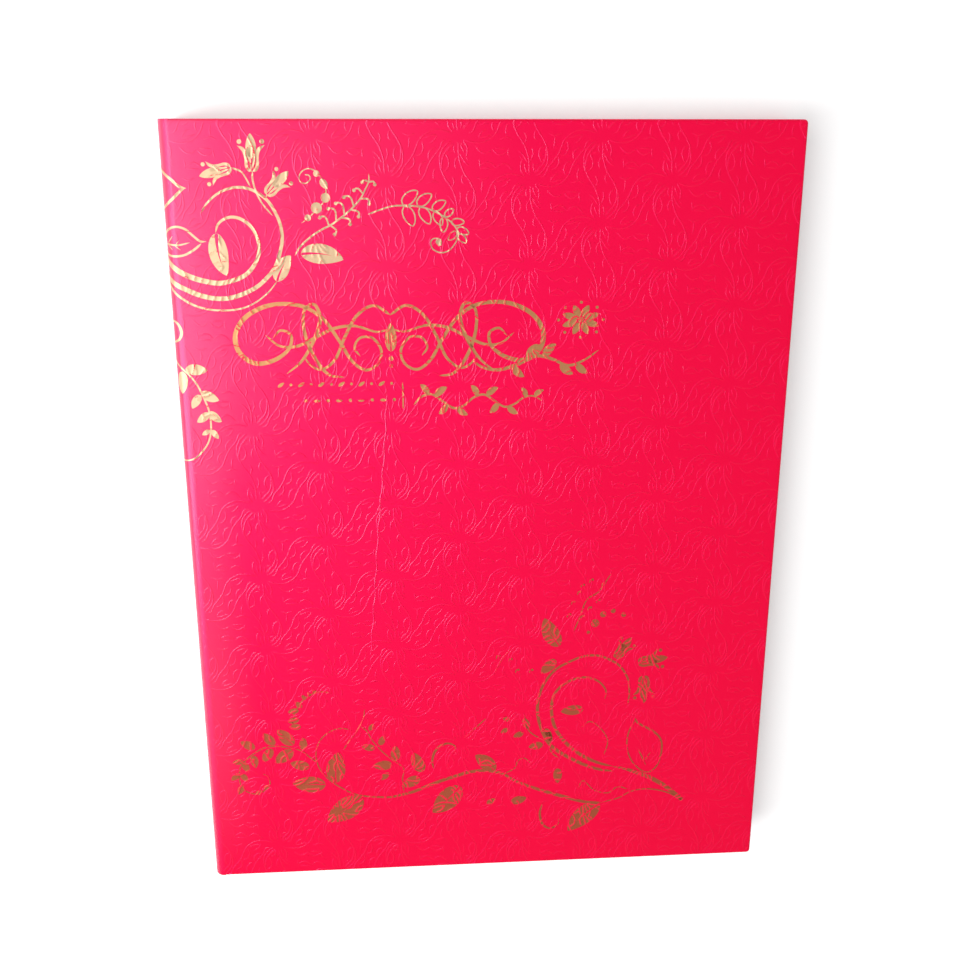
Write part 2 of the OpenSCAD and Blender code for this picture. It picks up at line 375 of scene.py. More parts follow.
def mappedRidges(side):
    # one spray copied to every place of the lattice, and the crease on the front, less the
    # faces off this half of the sheet; also says which points are on a crest
    points, faces = sprayRidges()[0]
    centres = sprayCentres()
    copies = np.tile(points, (len(centres), 1, 1))
    copies[:, :, :2] += centres[:, None, :]
    starts = np.arange(len(centres)) * len(points)
    points, faces = copies.reshape(-1, 3), (faces[None] + starts[:, None, None]).reshape(-1, 4)
    if side > 0:
        crease = np.array(emboss["crease"]) + [case["acrossShift"], -case["halfHeight"]]
        path, length = smoothPath(crease, emboss["creaseStep"])
        path[:, 0] += emboss["creaseWaver"] * np.sin(np.arange(len(path)) * 0.9)
        extra = ridgeRibbon(path, length, emboss["creaseHalfWidth"], emboss["creaseHeight"])
        points, faces = joinParts([(points, faces), extra])
    s, y = points[faces].mean(1)[:, :2].T
    edge = wrap["edgeRadius"] + emboss["margin"]
    keep = ((s * side > 0) & (np.abs(s) < case["end"] - edge)
            & (np.abs(y) < case["halfHeight"] - edge))
    faces = faces[keep]
    used = np.unique(faces)
    renumber = np.zeros(len(points), int)
    renumber[used] = np.arange(len(used))
    s, y, raised = points[used].T
    crest = raised > 0
    raised = np.where(crest, raised * ridgeFade(s * side), raised)
    return onFace(s * side, y, raised, side), renumber[faces], crest


def ridgeHeight(s, y):
    # height of the emboss at each point: 1 up to a fifth of the way out from the nearest
    # stroke, then evenly down to 0, with the point brought back into one cell of the lattice
    middles = sprayRidges()[1]
    pitch, row = emboss["columnPitch"], emboss["rowPitch"]
    places = [(i * pitch, (j + 0.5 * (i % 2)) * row) for i in (-1, 0, 1, 2) for j in (-2, -1, 0, 1, 2)]
    segments = np.concatenate([middles + np.array(place) for place in places])
    low, high = segments.min(1), segments.max(1)
    near = (high[:, 0] > -1) & (low[:, 0] < pitch + 1) & (high[:, 1] > -1) & (low[:, 1] < row + 1)
    start, along = segments[near, 0], segments[near, 1] - segments[near, 0]
    column = np.floor((s - emboss["firstColumn"] - case["acrossShift"]) / pitch)
    u = s - emboss["firstColumn"] - case["acrossShift"] - column * pitch
    v = np.mod(y + case["halfHeight"] - emboss["firstRow"] - 0.5 * (column % 2) * row, row)
    height = []
    for part in np.array_split(np.stack([u, v], -1), max(1, len(u) // 3000)):
        away = part[:, None] - start[None]
        share = np.clip((away * along).sum(-1) / (along**2).sum(-1), 0, 1)
        distance = np.hypot(*np.moveaxis(away - share[..., None] * along, -1, 0)).min(1)
        height.append(np.clip(1.25 * (1 - distance / (emboss["halfWidth"] * 1.1)), 0, 1))
    return emboss["height"] * ridgeFade(s) * np.concatenate(height)


# materials


def newMaterial(name, fixed):
    # a material with these shader inputs the same all over, and its object coordinates
    material = bpy.data.materials.new(name)
    material.use_nodes = True
    tree = material.node_tree
    shader = tree.nodes["Principled BSDF"]
    for key, value in fixed.items():
        shader.inputs[key].default_value = value
    return material, tree, shader, addNode(tree, "TexCoord").outputs["Object"]


def addNode(tree, kind, vector=None, **settings):
    # each setting is an input or, failing that, a property of the node
    node = tree.nodes.new("ShaderNode" + kind)
    for key, value in settings.items():
        if key in node.inputs:
            node.inputs[key].default_value = value
        else:
            setattr(node, key, value)
    if vector is not None:
        tree.links.new(vector, node.inputs["Vector"])
    return node


def noise(tree, vector, scale, detail, **more):
    # a noise texture's number
    return addNode(tree, "TexNoise", vector, Scale=scale, Detail=detail, **more).outputs["Fac"]


def attribute(tree, name):
    # a number that the mesh carries for each point
    return addNode(tree, "Attribute", attribute_name=name).outputs["Fac"]


def fill(tree, sockets, values):
    # numbers are typed in and sockets are linked
    for socket, value in zip(sockets, values):
        if isinstance(value, (int, float)):
            socket.default_value = value
        else:
            tree.links.new(value, socket)


def calc(tree, operation, *values):
    # one Math node
    node = addNode(tree, "Math", operation=operation)
    fill(tree, node.inputs, values)
    return node.outputs[0]


def mixture(tree, first, firstShare, second, secondShare):
    # the sum of two numbers, each times its share
    return calc(tree, "ADD", calc(tree, "MULTIPLY", first, firstShare),
                calc(tree, "MULTIPLY", second, secondShare))


def newGroup(name, inputs, outputs):
    # empty node group with a vector, named number inputs (and their defaults) and outputs
    group = bpy.data.node_groups.new(name, "ShaderNodeTree")
    group.interface.new_socket(name="Vector", in_out="INPUT", socket_type="NodeSocketVector")
    for key, value in inputs.items():
        socket = group.interface.new_socket(name=key, in_out="INPUT", socket_type="NodeSocketFloat")
        socket.default_value = value
    for key in outputs:
        group.interface.new_socket(name=key, in_out="OUTPUT", socket_type="NodeSocketFloat")
    given, out = group.nodes.new("NodeGroupInput"), group.nodes.new("NodeGroupOutput")
    return group, given.outputs, out.inputs


grainLook = {
    "fibres": {"scale": 1300.0, "detail": 5.0, "Roughness": 0.62, "Distortion": 0.6},
    "felt": {"scale": 260.0, "detail": 3.0},
    "clouds": {"scale": 26.0, "detail": 3.0, "Roughness": 0.55},
    "height": (0.7, 0.5),     # shares of the fibres and of the felt
    "fibreTone": 0.5,
    "flecks": 190.0,
    "fleckSize": 0.12,
}


def paperGrainGroup():
    # felted paper: fine fibres for height, slow clouds for tone, rare flecks
    group, given, out = newGroup("paperGrain", {"Scale": 1.0, "Clouds": 0.5}, ("Height", "Tone", "Flecks"))
    spread = addNode(group, "VectorMath", operation="SCALE")
    group.links.new(given["Vector"], spread.inputs[0])
    group.links.new(given["Scale"], spread.inputs["Scale"])
    vector = spread.outputs["Vector"]
    fibres, felt, clouds = [noise(group, vector, **grainLook[key])
                            for key in ("fibres", "felt", "clouds")]
    flecks = addNode(group, "TexVoronoi", vector, Scale=grainLook["flecks"]).outputs["Distance"]
    fibreShare, feltShare = grainLook["height"]
    fill(group, out, (mixture(group, fibres, fibreShare, felt, feltShare),
                      mixture(group, fibres, grainLook["fibreTone"], clouds, given["Clouds"]),
                      calc(group, "LESS_THAN", flecks, grainLook["fleckSize"])))
    return group


weaveLook = {
    "uneven": 900.0,          # scale of the noise that makes the threads uneven
    "drift": 0.9,             # how far it moves them, where pi is one thread
    "height": (0.35, 0.6),    # shares of the over and under, and of the round threads
    "tone": (0.25, 0.9),      # shares of the over and under, and of the noise
}


def weaveGroup():
    # plain weave: two crossed sine waves, each thread over its neighbour in turn
    group, given, out = newGroup("linenWeave", {"Pitch": 0.0006}, ("Height", "Tone"))
    split = addNode(group, "SeparateXYZ", given["Vector"]).outputs
    rate = calc(group, "DIVIDE", math.pi, given["Pitch"])
    uneven = noise(group, given["Vector"], weaveLook["uneven"], 3.0)
    drift = calc(group, "MULTIPLY", uneven, weaveLook["drift"])
    threads = [calc(group, "SINE", calc(group, "ADD", calc(group, "MULTIPLY", split[axis], rate), drift))
               for axis in "XY"]
    checks = calc(group, "MULTIPLY", *threads)
    rounded = calc(group, "MAXIMUM", *(calc(group, "ABSOLUTE", thread) for thread in threads))
    (checkHeight, threadHeight), (checkTone, noiseTone) = weaveLook["height"], weaveLook["tone"]
    fill(group, out, (mixture(group, checks, checkHeight, rounded, threadHeight),
                      mixture(group, checks, checkTone, uneven, noiseTone)))
    return group


wearLook = {
    "coarse": {"scale": 120.0, "detail": 5.0, "Roughness": 0.7},
    "fine": {"scale": 1600.0, "detail": 2.0},
    "shares": (0.7, 0.3),     # of the coarse and the fine noise
    "start": 0.95,            # worn where their sum and the mask pass this
    "sharp": 6.0,
}


def edgeWearGroup():
    # rubbed places: an edge mask eaten into by coarse and fine noise
    group, given, out = newGroup("edgeWear", {"Edge": 0.0, "Amount": 0.5}, ("Mask",))
    coarse, fine = [noise(group, given["Vector"], **wearLook[key]) for key in ("coarse", "fine")]
    reach = calc(group, "MULTIPLY", given["Edge"], given["Amount"])
    coarseShare, fineShare = wearLook["shares"]
    worn = calc(group, "ADD", mixture(group, coarse, coarseShare, fine, fineShare), reach)
    mask = calc(group, "MULTIPLY", calc(group, "SUBTRACT", worn, wearLook["start"]), wearLook["sharp"])
    mask.node.use_clamp = True
    group.links.new(mask, out["Mask"])
    return group


groups = {"grain": paperGrainGroup(), "weave": weaveGroup(), "wear": edgeWearGroup()}


def placeGroup(tree, which, vector, **values):
    # puts a shared group in a material and gives its outputs
    node = tree.nodes.new("ShaderNodeGroup")
    node.node_tree = groups[which]
    tree.links.new(vector, node.inputs["Vector"])
    fill(tree, [node.inputs[key] for key in values], values.values())
    return node.outputs


def blendColours(tree, factor, low, high, into=None):
    # a colour for 0 and a colour for 1, each a socket or numbers, blended evenly between; it
    # goes into a shader's base colour if one is given
    mix = addNode(tree, "Mix", data_type="RGBA")
    for key, value in (("A", low), ("B", high)):
        socket = next(s for s in mix.inputs if s.name == key and s.type == "RGBA")
        if isinstance(value, tuple):
            socket.default_value = (*value, 1)
        else:
            tree.links.new(value, socket)
    tree.links.new(factor, mix.inputs["Factor"])
    blended = next(s for s in mix.outputs if s.type == "RGBA")
    if into:
        tree.links.new(blended, into.inputs["Base Color"])
    return blended


def bumpFrom(tree, height, shader, strength, distance=0.00012):
    # fine relief from a number, this many metres high
    bump = addNode(tree, "Bump", Strength=strength, Distance=distance)
    tree.links.new(height, bump.inputs["Height"])
    tree.links.new(bump.outputs["Normal"], shader.inputs["Normal"])


coverLook = {
    "red": (0.95, 0.0006, 0.024),
    "deepRed": (0.86, 0.0003, 0.017),
    # paler red: real wear on the free edges and corners, and a painted highlight beside the fold, round
    # its head and on the raised lines
    "wornAndGlare": (0.95, 0.08, 0.13),
    "onCrest": 0.09,                  # share of the paler colour on the raised lines: a painted highlight, partly rubbing
    "atFold": 0.45,                   # beside the fold, over this distance: partly rubbing, partly a painted highlight
    "foldReach": 24.0,
    "downSpine": 2.5,                 # a distance down the spine counts this many times
    "tailFade": 80.0,                 # the paler strip beside the fold fades out towards the tail
    "atHead": 0.35,                   # a painted highlight round the head of the fold
    "headReach": 140.0,
    "edge": 1.3,                      # worn this far from a free edge and from a corner
    "corner": 7.0,
    "cornerShare": 0.5,
    "wear": 0.42,
    "clouds": 0.5,
    "relief": 0.22,
    "surface": {"Roughness": 0.45, "Specular IOR Level": 0.9, "Specular Tint": (1.0, 0.05, 1.0, 1),
                "Coat Weight": 0.5, "Coat Roughness": 0.22},    # a thin clear size over the dye
}


def coverPaperMaterial():
    # dyed paper, paler where it is worn at the free edges and corners, and where a highlight is painted
    # beside the fold, round its head and on the raised lines
    material, tree, shader, place = newMaterial("coverPaper", coverLook["surface"])
    grain = placeGroup(tree, "grain", place, Scale=1.0, Clouds=coverLook["clouds"])
    wear = placeGroup(tree, "wear", place, Edge=attribute(tree, "edge"), Amount=coverLook["wear"])
    toned = blendColours(tree, grain["Tone"], coverLook["deepRed"], coverLook["red"])
    # worn edges and corners, plus the painted highlight of the pale mask
    wornAndGlare = calc(tree, "MAXIMUM", wear["Mask"], attribute(tree, "pale"))
    blendColours(tree, wornAndGlare, toned, coverLook["wornAndGlare"], shader)
    bumpFrom(tree, grain["Height"], shader, coverLook["relief"])
    return material


def paperMaterial(name, light, dark, fleck, scale, roughness, bump):
    # plain papers and cards share the grain and differ in tone, flecks and roughness
    material, tree, shader, place = newMaterial(name, {"Roughness": roughness})
    grain = placeGroup(tree, "grain", place, Scale=scale, Clouds=0.6)
    toned = blendColours(tree, grain["Tone"], dark, light)
    blendColours(tree, grain["Flecks"], toned, fleck, shader)
    bumpFrom(tree, grain["Height"], shader, bump)
    return material


linenLook = {
    "shaded": (0.56, 0.50, 0.42),
    "lit": (0.84, 0.80, 0.72),
    "pitch": 0.00055,         # metres from thread to thread
    "relief": 0.8,
    "depth": 0.0002,
    "surface": {"Roughness": 0.85, "Sheen Weight": 0.2},
}


def linenMaterial():
    # woven cloth with a little nap
    material, tree, shader, place = newMaterial("linenCloth", linenLook["surface"])
    weave = placeGroup(tree, "weave", place, Pitch=linenLook["pitch"])
    blendColours(tree, weave["Tone"], linenLook["shaded"], linenLook["lit"], shader)
    bumpFrom(tree, weave["Height"], shader, linenLook["relief"], linenLook["depth"])
    return material


filmLook = {
    "dull": (0.90, 0.92, 0.92),
    "bright": (0.96, 0.97, 0.96),
    "opacity": (0.08, 0.08),  # least, and what the haze adds
    "welded": (0.1, 0.2),     # what a weld adds, and what its knurls add
    "haze": 60.0,
    "knurl": 0.0009,          # pitch of the knurls in metres
    "relief": 0.6,
    "depth": 0.0001,
    "surface": {"Roughness": 0.07, "Specular IOR Level": 1.0, "Coat Weight": 1.0,
                "Coat Roughness": 0.04},
}


def scaled(tree, value, least, share):
    # a share of a number, on top of the least that there is
    return calc(tree, "ADD", least, calc(tree, "MULTIPLY", value, share))


def filmMaterial():
    # clear film: thin and glossy, milkier where it is welded, with a knurled weld
    material, tree, shader, place = newMaterial("clearFilm", filmLook["surface"])
    seam = attribute(tree, "seam")
    knurl = placeGroup(tree, "weave", place, Pitch=filmLook["knurl"])["Height"]
    haze = noise(tree, place, filmLook["haze"], 4.0)
    welded = calc(tree, "MULTIPLY", seam, scaled(tree, knurl, *filmLook["welded"]))
    clear = scaled(tree, haze, *filmLook["opacity"])
    tree.links.new(calc(tree, "ADD", clear, welded), shader.inputs["Alpha"])
    bumpFrom(tree, calc(tree, "MULTIPLY", knurl, seam), shader, filmLook["relief"], filmLook["depth"])
    blendColours(tree, haze, filmLook["dull"], filmLook["bright"], shader)
    return material


glassineLook = {
    "dull": (0.62, 0.62, 0.57),
    "bright": (0.76, 0.76, 0.71),
    "opacity": (0.5, 0.25),   # least, and what the grain adds
    "scale": 0.6,
    "clouds": 0.9,
    "relief": 0.12,
    "depth": 0.0001,
    "surface": {"Roughness": 0.32},
}


def glassineMaterial():
    # smooth translucent paper with a faint cloudy look-through
    material, tree, shader, place = newMaterial("glassinePaper", glassineLook["surface"])
    grain = placeGroup(tree, "grain", place, Scale=glassineLook["scale"], Clouds=glassineLook["clouds"])
    opacity = scaled(tree, grain["Tone"], *glassineLook["opacity"])
    tree.links.new(opacity, shader.inputs["Alpha"])
    blendColours(tree, grain["Tone"], glassineLook["dull"], glassineLook["bright"], shader)
    bumpFrom(tree, grain["Height"], shader, glassineLook["relief"], glassineLook["depth"])
    return material


foilLook = {
    "bare": (0.90, 0.01, 0.05),       # cover red where the foil has gone
    "metal": 0.5,                     # bronze powder in a clear binder
    "onRidge": 0.32,                  # loss on the emboss
    "specks": {"scale": 2100.0, "detail": 3.0},
    "speckShare": 0.55,
    "patches": {"scale": 210.0, "detail": 2.0},
    "patchShare": 0.25,
    "moreWorn": 0.5,                  # a worn foil loses this much more on ridges and in patches
    "holds": 0.74,                    # foil stays where the loss is less than this
    "sharp": 9.0,
    "clouds": 0.5,
    "relief": 0.3,
    "surface": {"Roughness": 0.4, "Specular IOR Level": 0.3},
}


def foilMaterial(name, bright, dull, worn):
    # metal foil, gone in specks where it crosses the emboss; worn is how much has gone
    material, tree, shader, place = newMaterial(name, foilLook["surface"])
    grain = placeGroup(tree, "grain", place, Scale=1.0, Clouds=foilLook["clouds"])
    specks, patches = [noise(tree, place, **foilLook[key]) for key in ("specks", "patches")]
    more = foilLook["moreWorn"] * worn
    onRidge = calc(tree, "MULTIPLY", attribute(tree, "ridge"), foilLook["onRidge"] + more)
    loss = calc(tree, "ADD", onRidge, mixture(tree, specks, foilLook["speckShare"],
                                              patches, foilLook["patchShare"] + more))
    mask = calc(tree, "MULTIPLY", calc(tree, "SUBTRACT", foilLook["holds"], loss), foilLook["sharp"])
    mask.node.use_clamp = True
    metal = blendColours(tree, grain["Tone"], dull, bright)
    blendColours(tree, mask, foilLook["bare"], metal, shader)
    tree.links.new(calc(tree, "MULTIPLY", mask, foilLook["metal"]), shader.inputs["Metallic"])
    bumpFrom(tree, grain["Height"], shader, foilLook["relief"])
    return material


coverMaterial = coverPaperMaterial()
liningPaper, greyBoard, guardCard, leafCard = [paperMaterial(*look) for look in (
    # name, light, dark and fleck colours, scale, roughness, bump
    ("liningPaper", (0.79, 0.76, 0.69), (0.70, 0.665, 0.585), (0.66, 0.6, 0.49), 1.0, 0.72, 0.2),
    ("greyBoard", (0.50, 0.48, 0.44), (0.34, 0.32, 0.29), (0.22, 0.2, 0.18), 0.6, 0.9, 0.5),
    ("guardCard", (0.86, 0.82, 0.72), (0.76, 0.71, 0.6), (0.7, 0.63, 0.5), 0.8, 0.78, 0.3),
    ("leafCard", (0.79, 0.755, 0.68), (0.72, 0.68, 0.59), (0.68, 0.62, 0.5), 1.0, 0.62, 0.16),
)]
linenCloth = linenMaterial()
clearFilm = filmMaterial()
glassinePaper = glassineMaterial()
# one foil in three copies: the head copy's paler colour is a painted highlight, and the tail copy's
# darker, redder colour is painted shade, partly wear; the worn share is real loss of foil
headGold = foilMaterial("goldFoilPaintedHighlight", (0.75, 0.53, 0.33), (0.64, 0.43, 0.25), 0.0)
titleGold = foilMaterial("goldFoil", (0.69, 0.33, 0.14), (0.58, 0.26, 0.10), 0.15)
tailGold = foilMaterial("wornGoldFoilPaintedShade", (0.66, 0.155, 0.075), (0.54, 0.11, 0.05), 0.35)
print("materials")

# case paper


def blendAcross(piece, side):
    # bakes the piece's placement into its points, the same way for both sides
    if side > 0:
        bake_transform(piece)
    else:
        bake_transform(piece)


def edgeMask(points):
    # 1 on the three free edges, falling evenly to 0 inside them, and more at the corners
    fore, end = case["right"] - points[:, 0], case["halfHeight"] - np.abs(points[:, 1])
    edges = np.clip(1 - np.minimum(fore, end) / coverLook["edge"], 0, 1)
    corners = np.clip(1 - np.hypot(fore, end) / coverLook["corner"], 0, 1)
    return edges + coverLook["cornerShare"] * corners


def paleMask(points, crest):
    # share of the paler colour, partly rubbing and partly a painted highlight: a smooth step down from the
    # fold, times an even fade to the tail, plus a smooth step round the head of the fold (a painted
    # highlight), plus a little on the raised lines
    down = case["top"] - case["middle"] - np.abs(points[:, 2] - case["middle"])
    away = np.maximum(points[:, 0] - case["left"], coverLook["downSpine"] * down)
    fold = smoothStep(1 - away / coverLook["foldReach"])
    fromTail = np.clip((points[:, 1] + case["halfHeight"]) / coverLook["tailFade"], 0, 1)
    head = smoothStep(1 - np.hypot(away, case["halfHeight"] - points[:, 1]) / coverLook["headReach"])
    return (coverLook["atFold"] * fold * fromTail + coverLook["atHead"] * head
            + coverLook["onCrest"] * crest)


for side, name, nodes in ((1, "front_paper", ("front_wrap", "front_joint_wrap", "spine_wrap")),
                          (-1, "back_paper", ("back_wrap", "back_joint_wrap"))):
    ridgePoints, ridgeFaces, crest = mappedRidges(side)
    points, faces = joinParts(coverPaper(side) + [(ridgePoints, ridgeFaces)])
    crest = np.concatenate([np.zeros(len(points) - len(crest)), crest])
    # pale: the painted highlight by the fold, round its head and on the raised lines, partly rubbing
    masks = {"edge": edgeMask(points), "pale": paleMask(points, crest)}
    piece = putIn(name, points, faces, coverMaterial, values=masks, merge=0.004)
    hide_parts(*nodes)
    blendAcross(piece, side)
    print(name, len(piece.data.polygons), "faces")

# inside of the case

inside = {
    "lining": 0.2,          # thickness of the lining paper
    "jointFace": 3.2,       # radius of the lining's seen face in a joint
    "bend": 0.3,            # radius where the lining turns round a board's edge
    "telegraph": 0.11,      # the lining dips this far inside the folded-in paper, over a slope
    "slope": 1.2,
    "boardCorner": 2.0,
    "boardEdge": 0.35,
    "boardRoom": 0.4,       # room for the folded paper between a board and its joint
}


def rim(grid):
    # the values along a grid's four edges, in one round
    return np.concatenate([grid[:-1, 0], grid[-1, :-1], grid[:0:-1, -1], grid[0, ::-1]])


def closedSheet(face, back, flip=False):
    # two grids of points of one shape, and the strip that joins their four edges
    rows, columns = face.shape[:2]
    edge = np.stack([rim(face), rim(back)])
    return joinParts([(face.reshape(-1, 3), gridFaces(rows, columns, flip=flip)),
                      (back.reshape(-1, 3), gridFaces(rows, columns, flip=not flip)),
                      (edge.reshape(-1, 3), gridFaces(2, edge.shape[1], flip=not flip))])


def roundedSlab(low, high, corner, edge):
    # outline with quarter-circle corners, carried over both rounded edges and inwards on
    # both faces until it closes on the middle line
    half, middle = (high - low) / 2, (high + low) / 2
    turn = np.linspace(0, quarter, 7)
    angle = np.concatenate([turn + k * quarter for k in range(4)] + [[2 * math.pi]])
    signX = np.repeat([1, -1, -1, 1], 7)
    signY = np.repeat([1, 1, -1, -1], 7)
    outX = np.append(signX * (half[0] - corner), half[0] - corner) + corner * np.cos(angle)
    outY = np.append(signY * (half[1] - corner), half[1] - corner) + corner * np.sin(angle)
    arc = np.linspace(0, quarter, 5)
    inset = np.concatenate([[half[:2].min(), edge + 0.5], edge * (1 - np.sin(arc))])[:, None]
    height = half[2] - np.concatenate([[0, 0], edge * (1 - np.cos(arc))])[:, None]
    inset, height = np.vstack([inset, inset[::-1]]), np.vstack([height, -height[::-1]])
    x = np.clip(outX - np.cos(angle) * inset, inset - half[0], half[0] - inset)
    y = np.clip(outY - np.sin(angle) * inset, inset - half[1], half[1] - inset)
    points = np.stack([x, y, np.broadcast_to(height, x.shape)], -1) + middle
    return points.reshape(-1, 3), gridFaces(len(inset), len(angle))


def filletPath(corners, bend):
    # straight runs joined by arcs of one radius that touch both runs
    c = np.asarray(corners, float)
    points = [c[:1]]
    for before, at, after in zip(c[:-2], c[1:-1], c[2:]):
        a, b = (before - at) / math.dist(before, at), (after - at) / math.dist(after, at)
        half = math.acos(float(np.clip(a @ b, -1, 1))) / 2
        middle = at + (a + b) / math.hypot(*(a + b)) * bend / math.sin(half)
        start, end = at + a * bend / math.tan(half), at + b * bend / math.tan(half)
        t = np.linspace(0, 1, 6)[:, None]
        chord = start + (end - start) * t - middle
        points.append(middle + chord / np.hypot(*chord.T)[:, None] * bend)
    return np.vstack(points + [c[-1:]])


def liningSheet(side):
    # seen face of the lining: down the spine, over the spine board's edge, round the joint,
    # over the cover board's edge and across the cover; carried from tail to head
    low, high = nodeBox("front_liner")
    spineInner = nodeBox("spine_lining")[1][0]
    jointX, jointZ = low[0], case["top"] - case["rollRadius"]
    turn = np.linspace(math.pi, quarter, 9)[1:-1]
    ring = np.stack([jointX + inside["jointFace"] * np.cos(turn),
                     jointZ + inside["jointFace"] * np.sin(turn)], -1)
    first = filletPath([(spineInner, case["middle"]), (spineInner, jointZ),
                        (jointX - inside["jointFace"], jointZ), tuple(ring[0])], inside["bend"])
    last = filletPath([tuple(ring[-1]), (jointX, jointZ + inside["jointFace"]),
                       (jointX, low[2]), (high[0], low[2])], inside["bend"])
    step = inside["slope"] * np.array([-1, -0.5, 0, 0.5, 1])
    fore, edge = case["right"] - case["turnIn"], case["halfHeight"] - case["turnIn"]
    across = np.concatenate([np.linspace(jointX + 4, fore + step[0], 22), fore + step[1:],
                             [high[0] - 2, high[0]]])
    spinePart = np.stack([np.full(3, spineInner), np.linspace(case["middle"], jointZ - 1.5, 3)], -1)
    path = np.concatenate([spinePart, first[1:-1], ring, last[1:-1],
                           np.stack([across, np.full(len(across), low[2])], -1)])
    upward = np.concatenate([[low[1], low[1] + 2], -edge + step, np.linspace(-edge + 4, edge - 4, 26),
                             edge + step, [high[1] - 2, high[1]]])
    normal = leftNormals(path)
    normal /= np.hypot(*normal.T)[:, None]
    x, y = np.meshgrid(path[:, 0], upward, indexing="ij")
    z = np.broadcast_to(path[:, 1:2], x.shape)
    insideRing = smoothStep((edge - np.abs(y)) / inside["slope"] + 0.5)
    ahead = smoothStep((fore - x) / inside["slope"] + 0.5)
    onPanel = smoothStep((x - jointX - 1.0) / 2.0)
    onSpine = smoothStep((jointZ - 1.0 - z) / 1.0)
    dip = inside["telegraph"] * insideRing * np.maximum(onPanel * ahead, onSpine)
    dip = dip - paperSwell(x * 1.3 + 40, y * 1.2) * 0.5 * onPanel

    def at(depth):
        # the sheet's points this far behind its seen face
        grid = np.stack([x + normal[:, None, 0] * depth, y, z + normal[:, None, 1] * depth], -1)
        grid[..., 2] = case["middle"] + side * (grid[..., 2] - case["middle"])
        return grid

    return closedSheet(at(dip), at(dip + inside["lining"]), flip=side > 0)


for side, name, nodes in ((1, "front_lining", ("front_liner", "front_joint_lining", "spine_lining")),
                          (-1, "back_lining", ("back_liner", "back_joint_lining"))):
    piece = putIn(name, *liningSheet(side), liningPaper, merge=0.004)
    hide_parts(*nodes)
    blendAcross(piece, side)

for node, body in (("back_board", "back_cover"), ("spine_board", "spine"), ("front_board", "front_cover")):
    low, high = nodeBox(node)
    if node == "spine_board":
        low, high = low + [0, 0, inside["boardRoom"]], high - [0, 0, inside["boardRoom"]]
    else:
        low = low + [inside["boardRoom"], 0, 0]
    slab = roundedSlab(low, high, inside["boardCorner"], inside["boardEdge"])
    piece = putIn(node + "_core", *slab, greyBoard, merge=0.004)
    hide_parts(node)
    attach(piece, body)
print("lining and boards")

for slot in bpy.data.objects["guard_strips"].material_slots:
    slot.material = guardCard

# leaves

leaf = {
    "corner": 2.5,
    "tape": 0.15,           # thickness of one layer of linen
    "tapeReach": 10.0,      # tape glued on the card
    "strips": 9,
    "stripPitch": 31.0,
    "firstStrip": 8.0,      # foot of the lowest strip, from the tail edge of the card
    "stripHeight": 26.0,
    "footSeam": 3.0,
    "endSeam": 2.0,
    "film": 0.1,
    "weld": 0.13,           # the film's outer face over a seam
    "edge": 0.12,           # rounding of the card's edges
    "waver": 0.12,          # of the tape's long edge
    "wave": 0.02,           # of a pocket's open edge
    "lip": 0.03,            # lift of that edge
    "ripple": 0.11,         # of a glassine sheet
    "rippleRun": 25.0,      # it grows to that over this distance
    "foldBand": 0.6,        # a sheet bends this far to either side of its fold
}


def leafTape(foldX, cardLeft, z, halfHeight):
    # upper and lower layer of linen: flat between the guards, opening round the card's edge
    low, high = cardLeft - foldX, cardLeft - foldX + leaf["tapeReach"]
    bound = nodeBox("guard_strips")[0][0] - foldX
    across = np.concatenate([[bound, bound / 2, -2], np.linspace(-1.2, 1.2, 13), [1.8, low],
                             np.linspace(low, high, 7)[1:]])
    inner = np.interp(across, [0, low], [0, card["half"]])
    along = np.linspace(-halfHeight, halfHeight, 50)
    x, y = np.meshgrid(across, along, indexing="ij")
    # the long edge on the card wavers a little
    x = x + leaf["waver"] * np.sin(y / 3.1) * np.sin(y / 7.7) * (x > low + 5)
    parts = []
    for sign in (1, -1):
        under = np.broadcast_to(inner[:, None], x.shape)
        face = np.stack([foldX + x, y, z + sign * (under + leaf["tape"])], -1)
        back = np.stack([foldX + x, y, z + sign * under], -1)
        parts.append(closedSheet(face, back, flip=sign < 0))
    return joinParts(parts)


def pocketFilm(left, right, foot, z, sign):
    # film over one pocket: welded down at its foot and both ends, standing off between
    # them, with a slight wave at the open edge
    height, seam, end = leaf["stripHeight"], leaf["footSeam"], leaf["endSeam"]
    u = np.concatenate([[0, end * 0.5, end, end + 0.8, end + 1.8],
                        np.linspace(8, right - left - 8, 18),
                        right - left - np.array([end + 1.8, end + 0.8, end, end * 0.5, 0])])
    v = np.array([0, seam * 0.5, seam, seam + 0.8, seam + 1.8, 11, 18, height - 2.2, height - 0.8,
                  height - 0.25, height])
    x, y = np.meshgrid(u, v, indexing="ij")
    ends = np.minimum(x, right - left - x)
    off = smoothStep((ends - end) / 1.8) * smoothStep((y - seam) / 1.8)
    wave = leaf["wave"] * np.sin(x / 9.0 + foot) * (y / height) ** 2 * off
    lip = leaf["lip"] * smoothStep((y - height + 1.2) / 1.2) * off
    outer = leaf["weld"] + (pocket["outer"] - leaf["weld"] - leaf["lip"]) * off + wave + lip
    seamMask = np.maximum(1 - off, smoothStep((y - height + 1.0) / 0.6))
    face = np.stack([left + x, foot + y, z + sign * outer], -1)
    back = np.stack([left + x, foot + y, z + sign * (outer - leaf["film"])], -1)
    points, faces = closedSheet(face, back, flip=sign < 0)
    masks = (seamMask.ravel(), seamMask.ravel(), rim(seamMask), rim(seamMask))
    return points, faces, np.concatenate(masks)


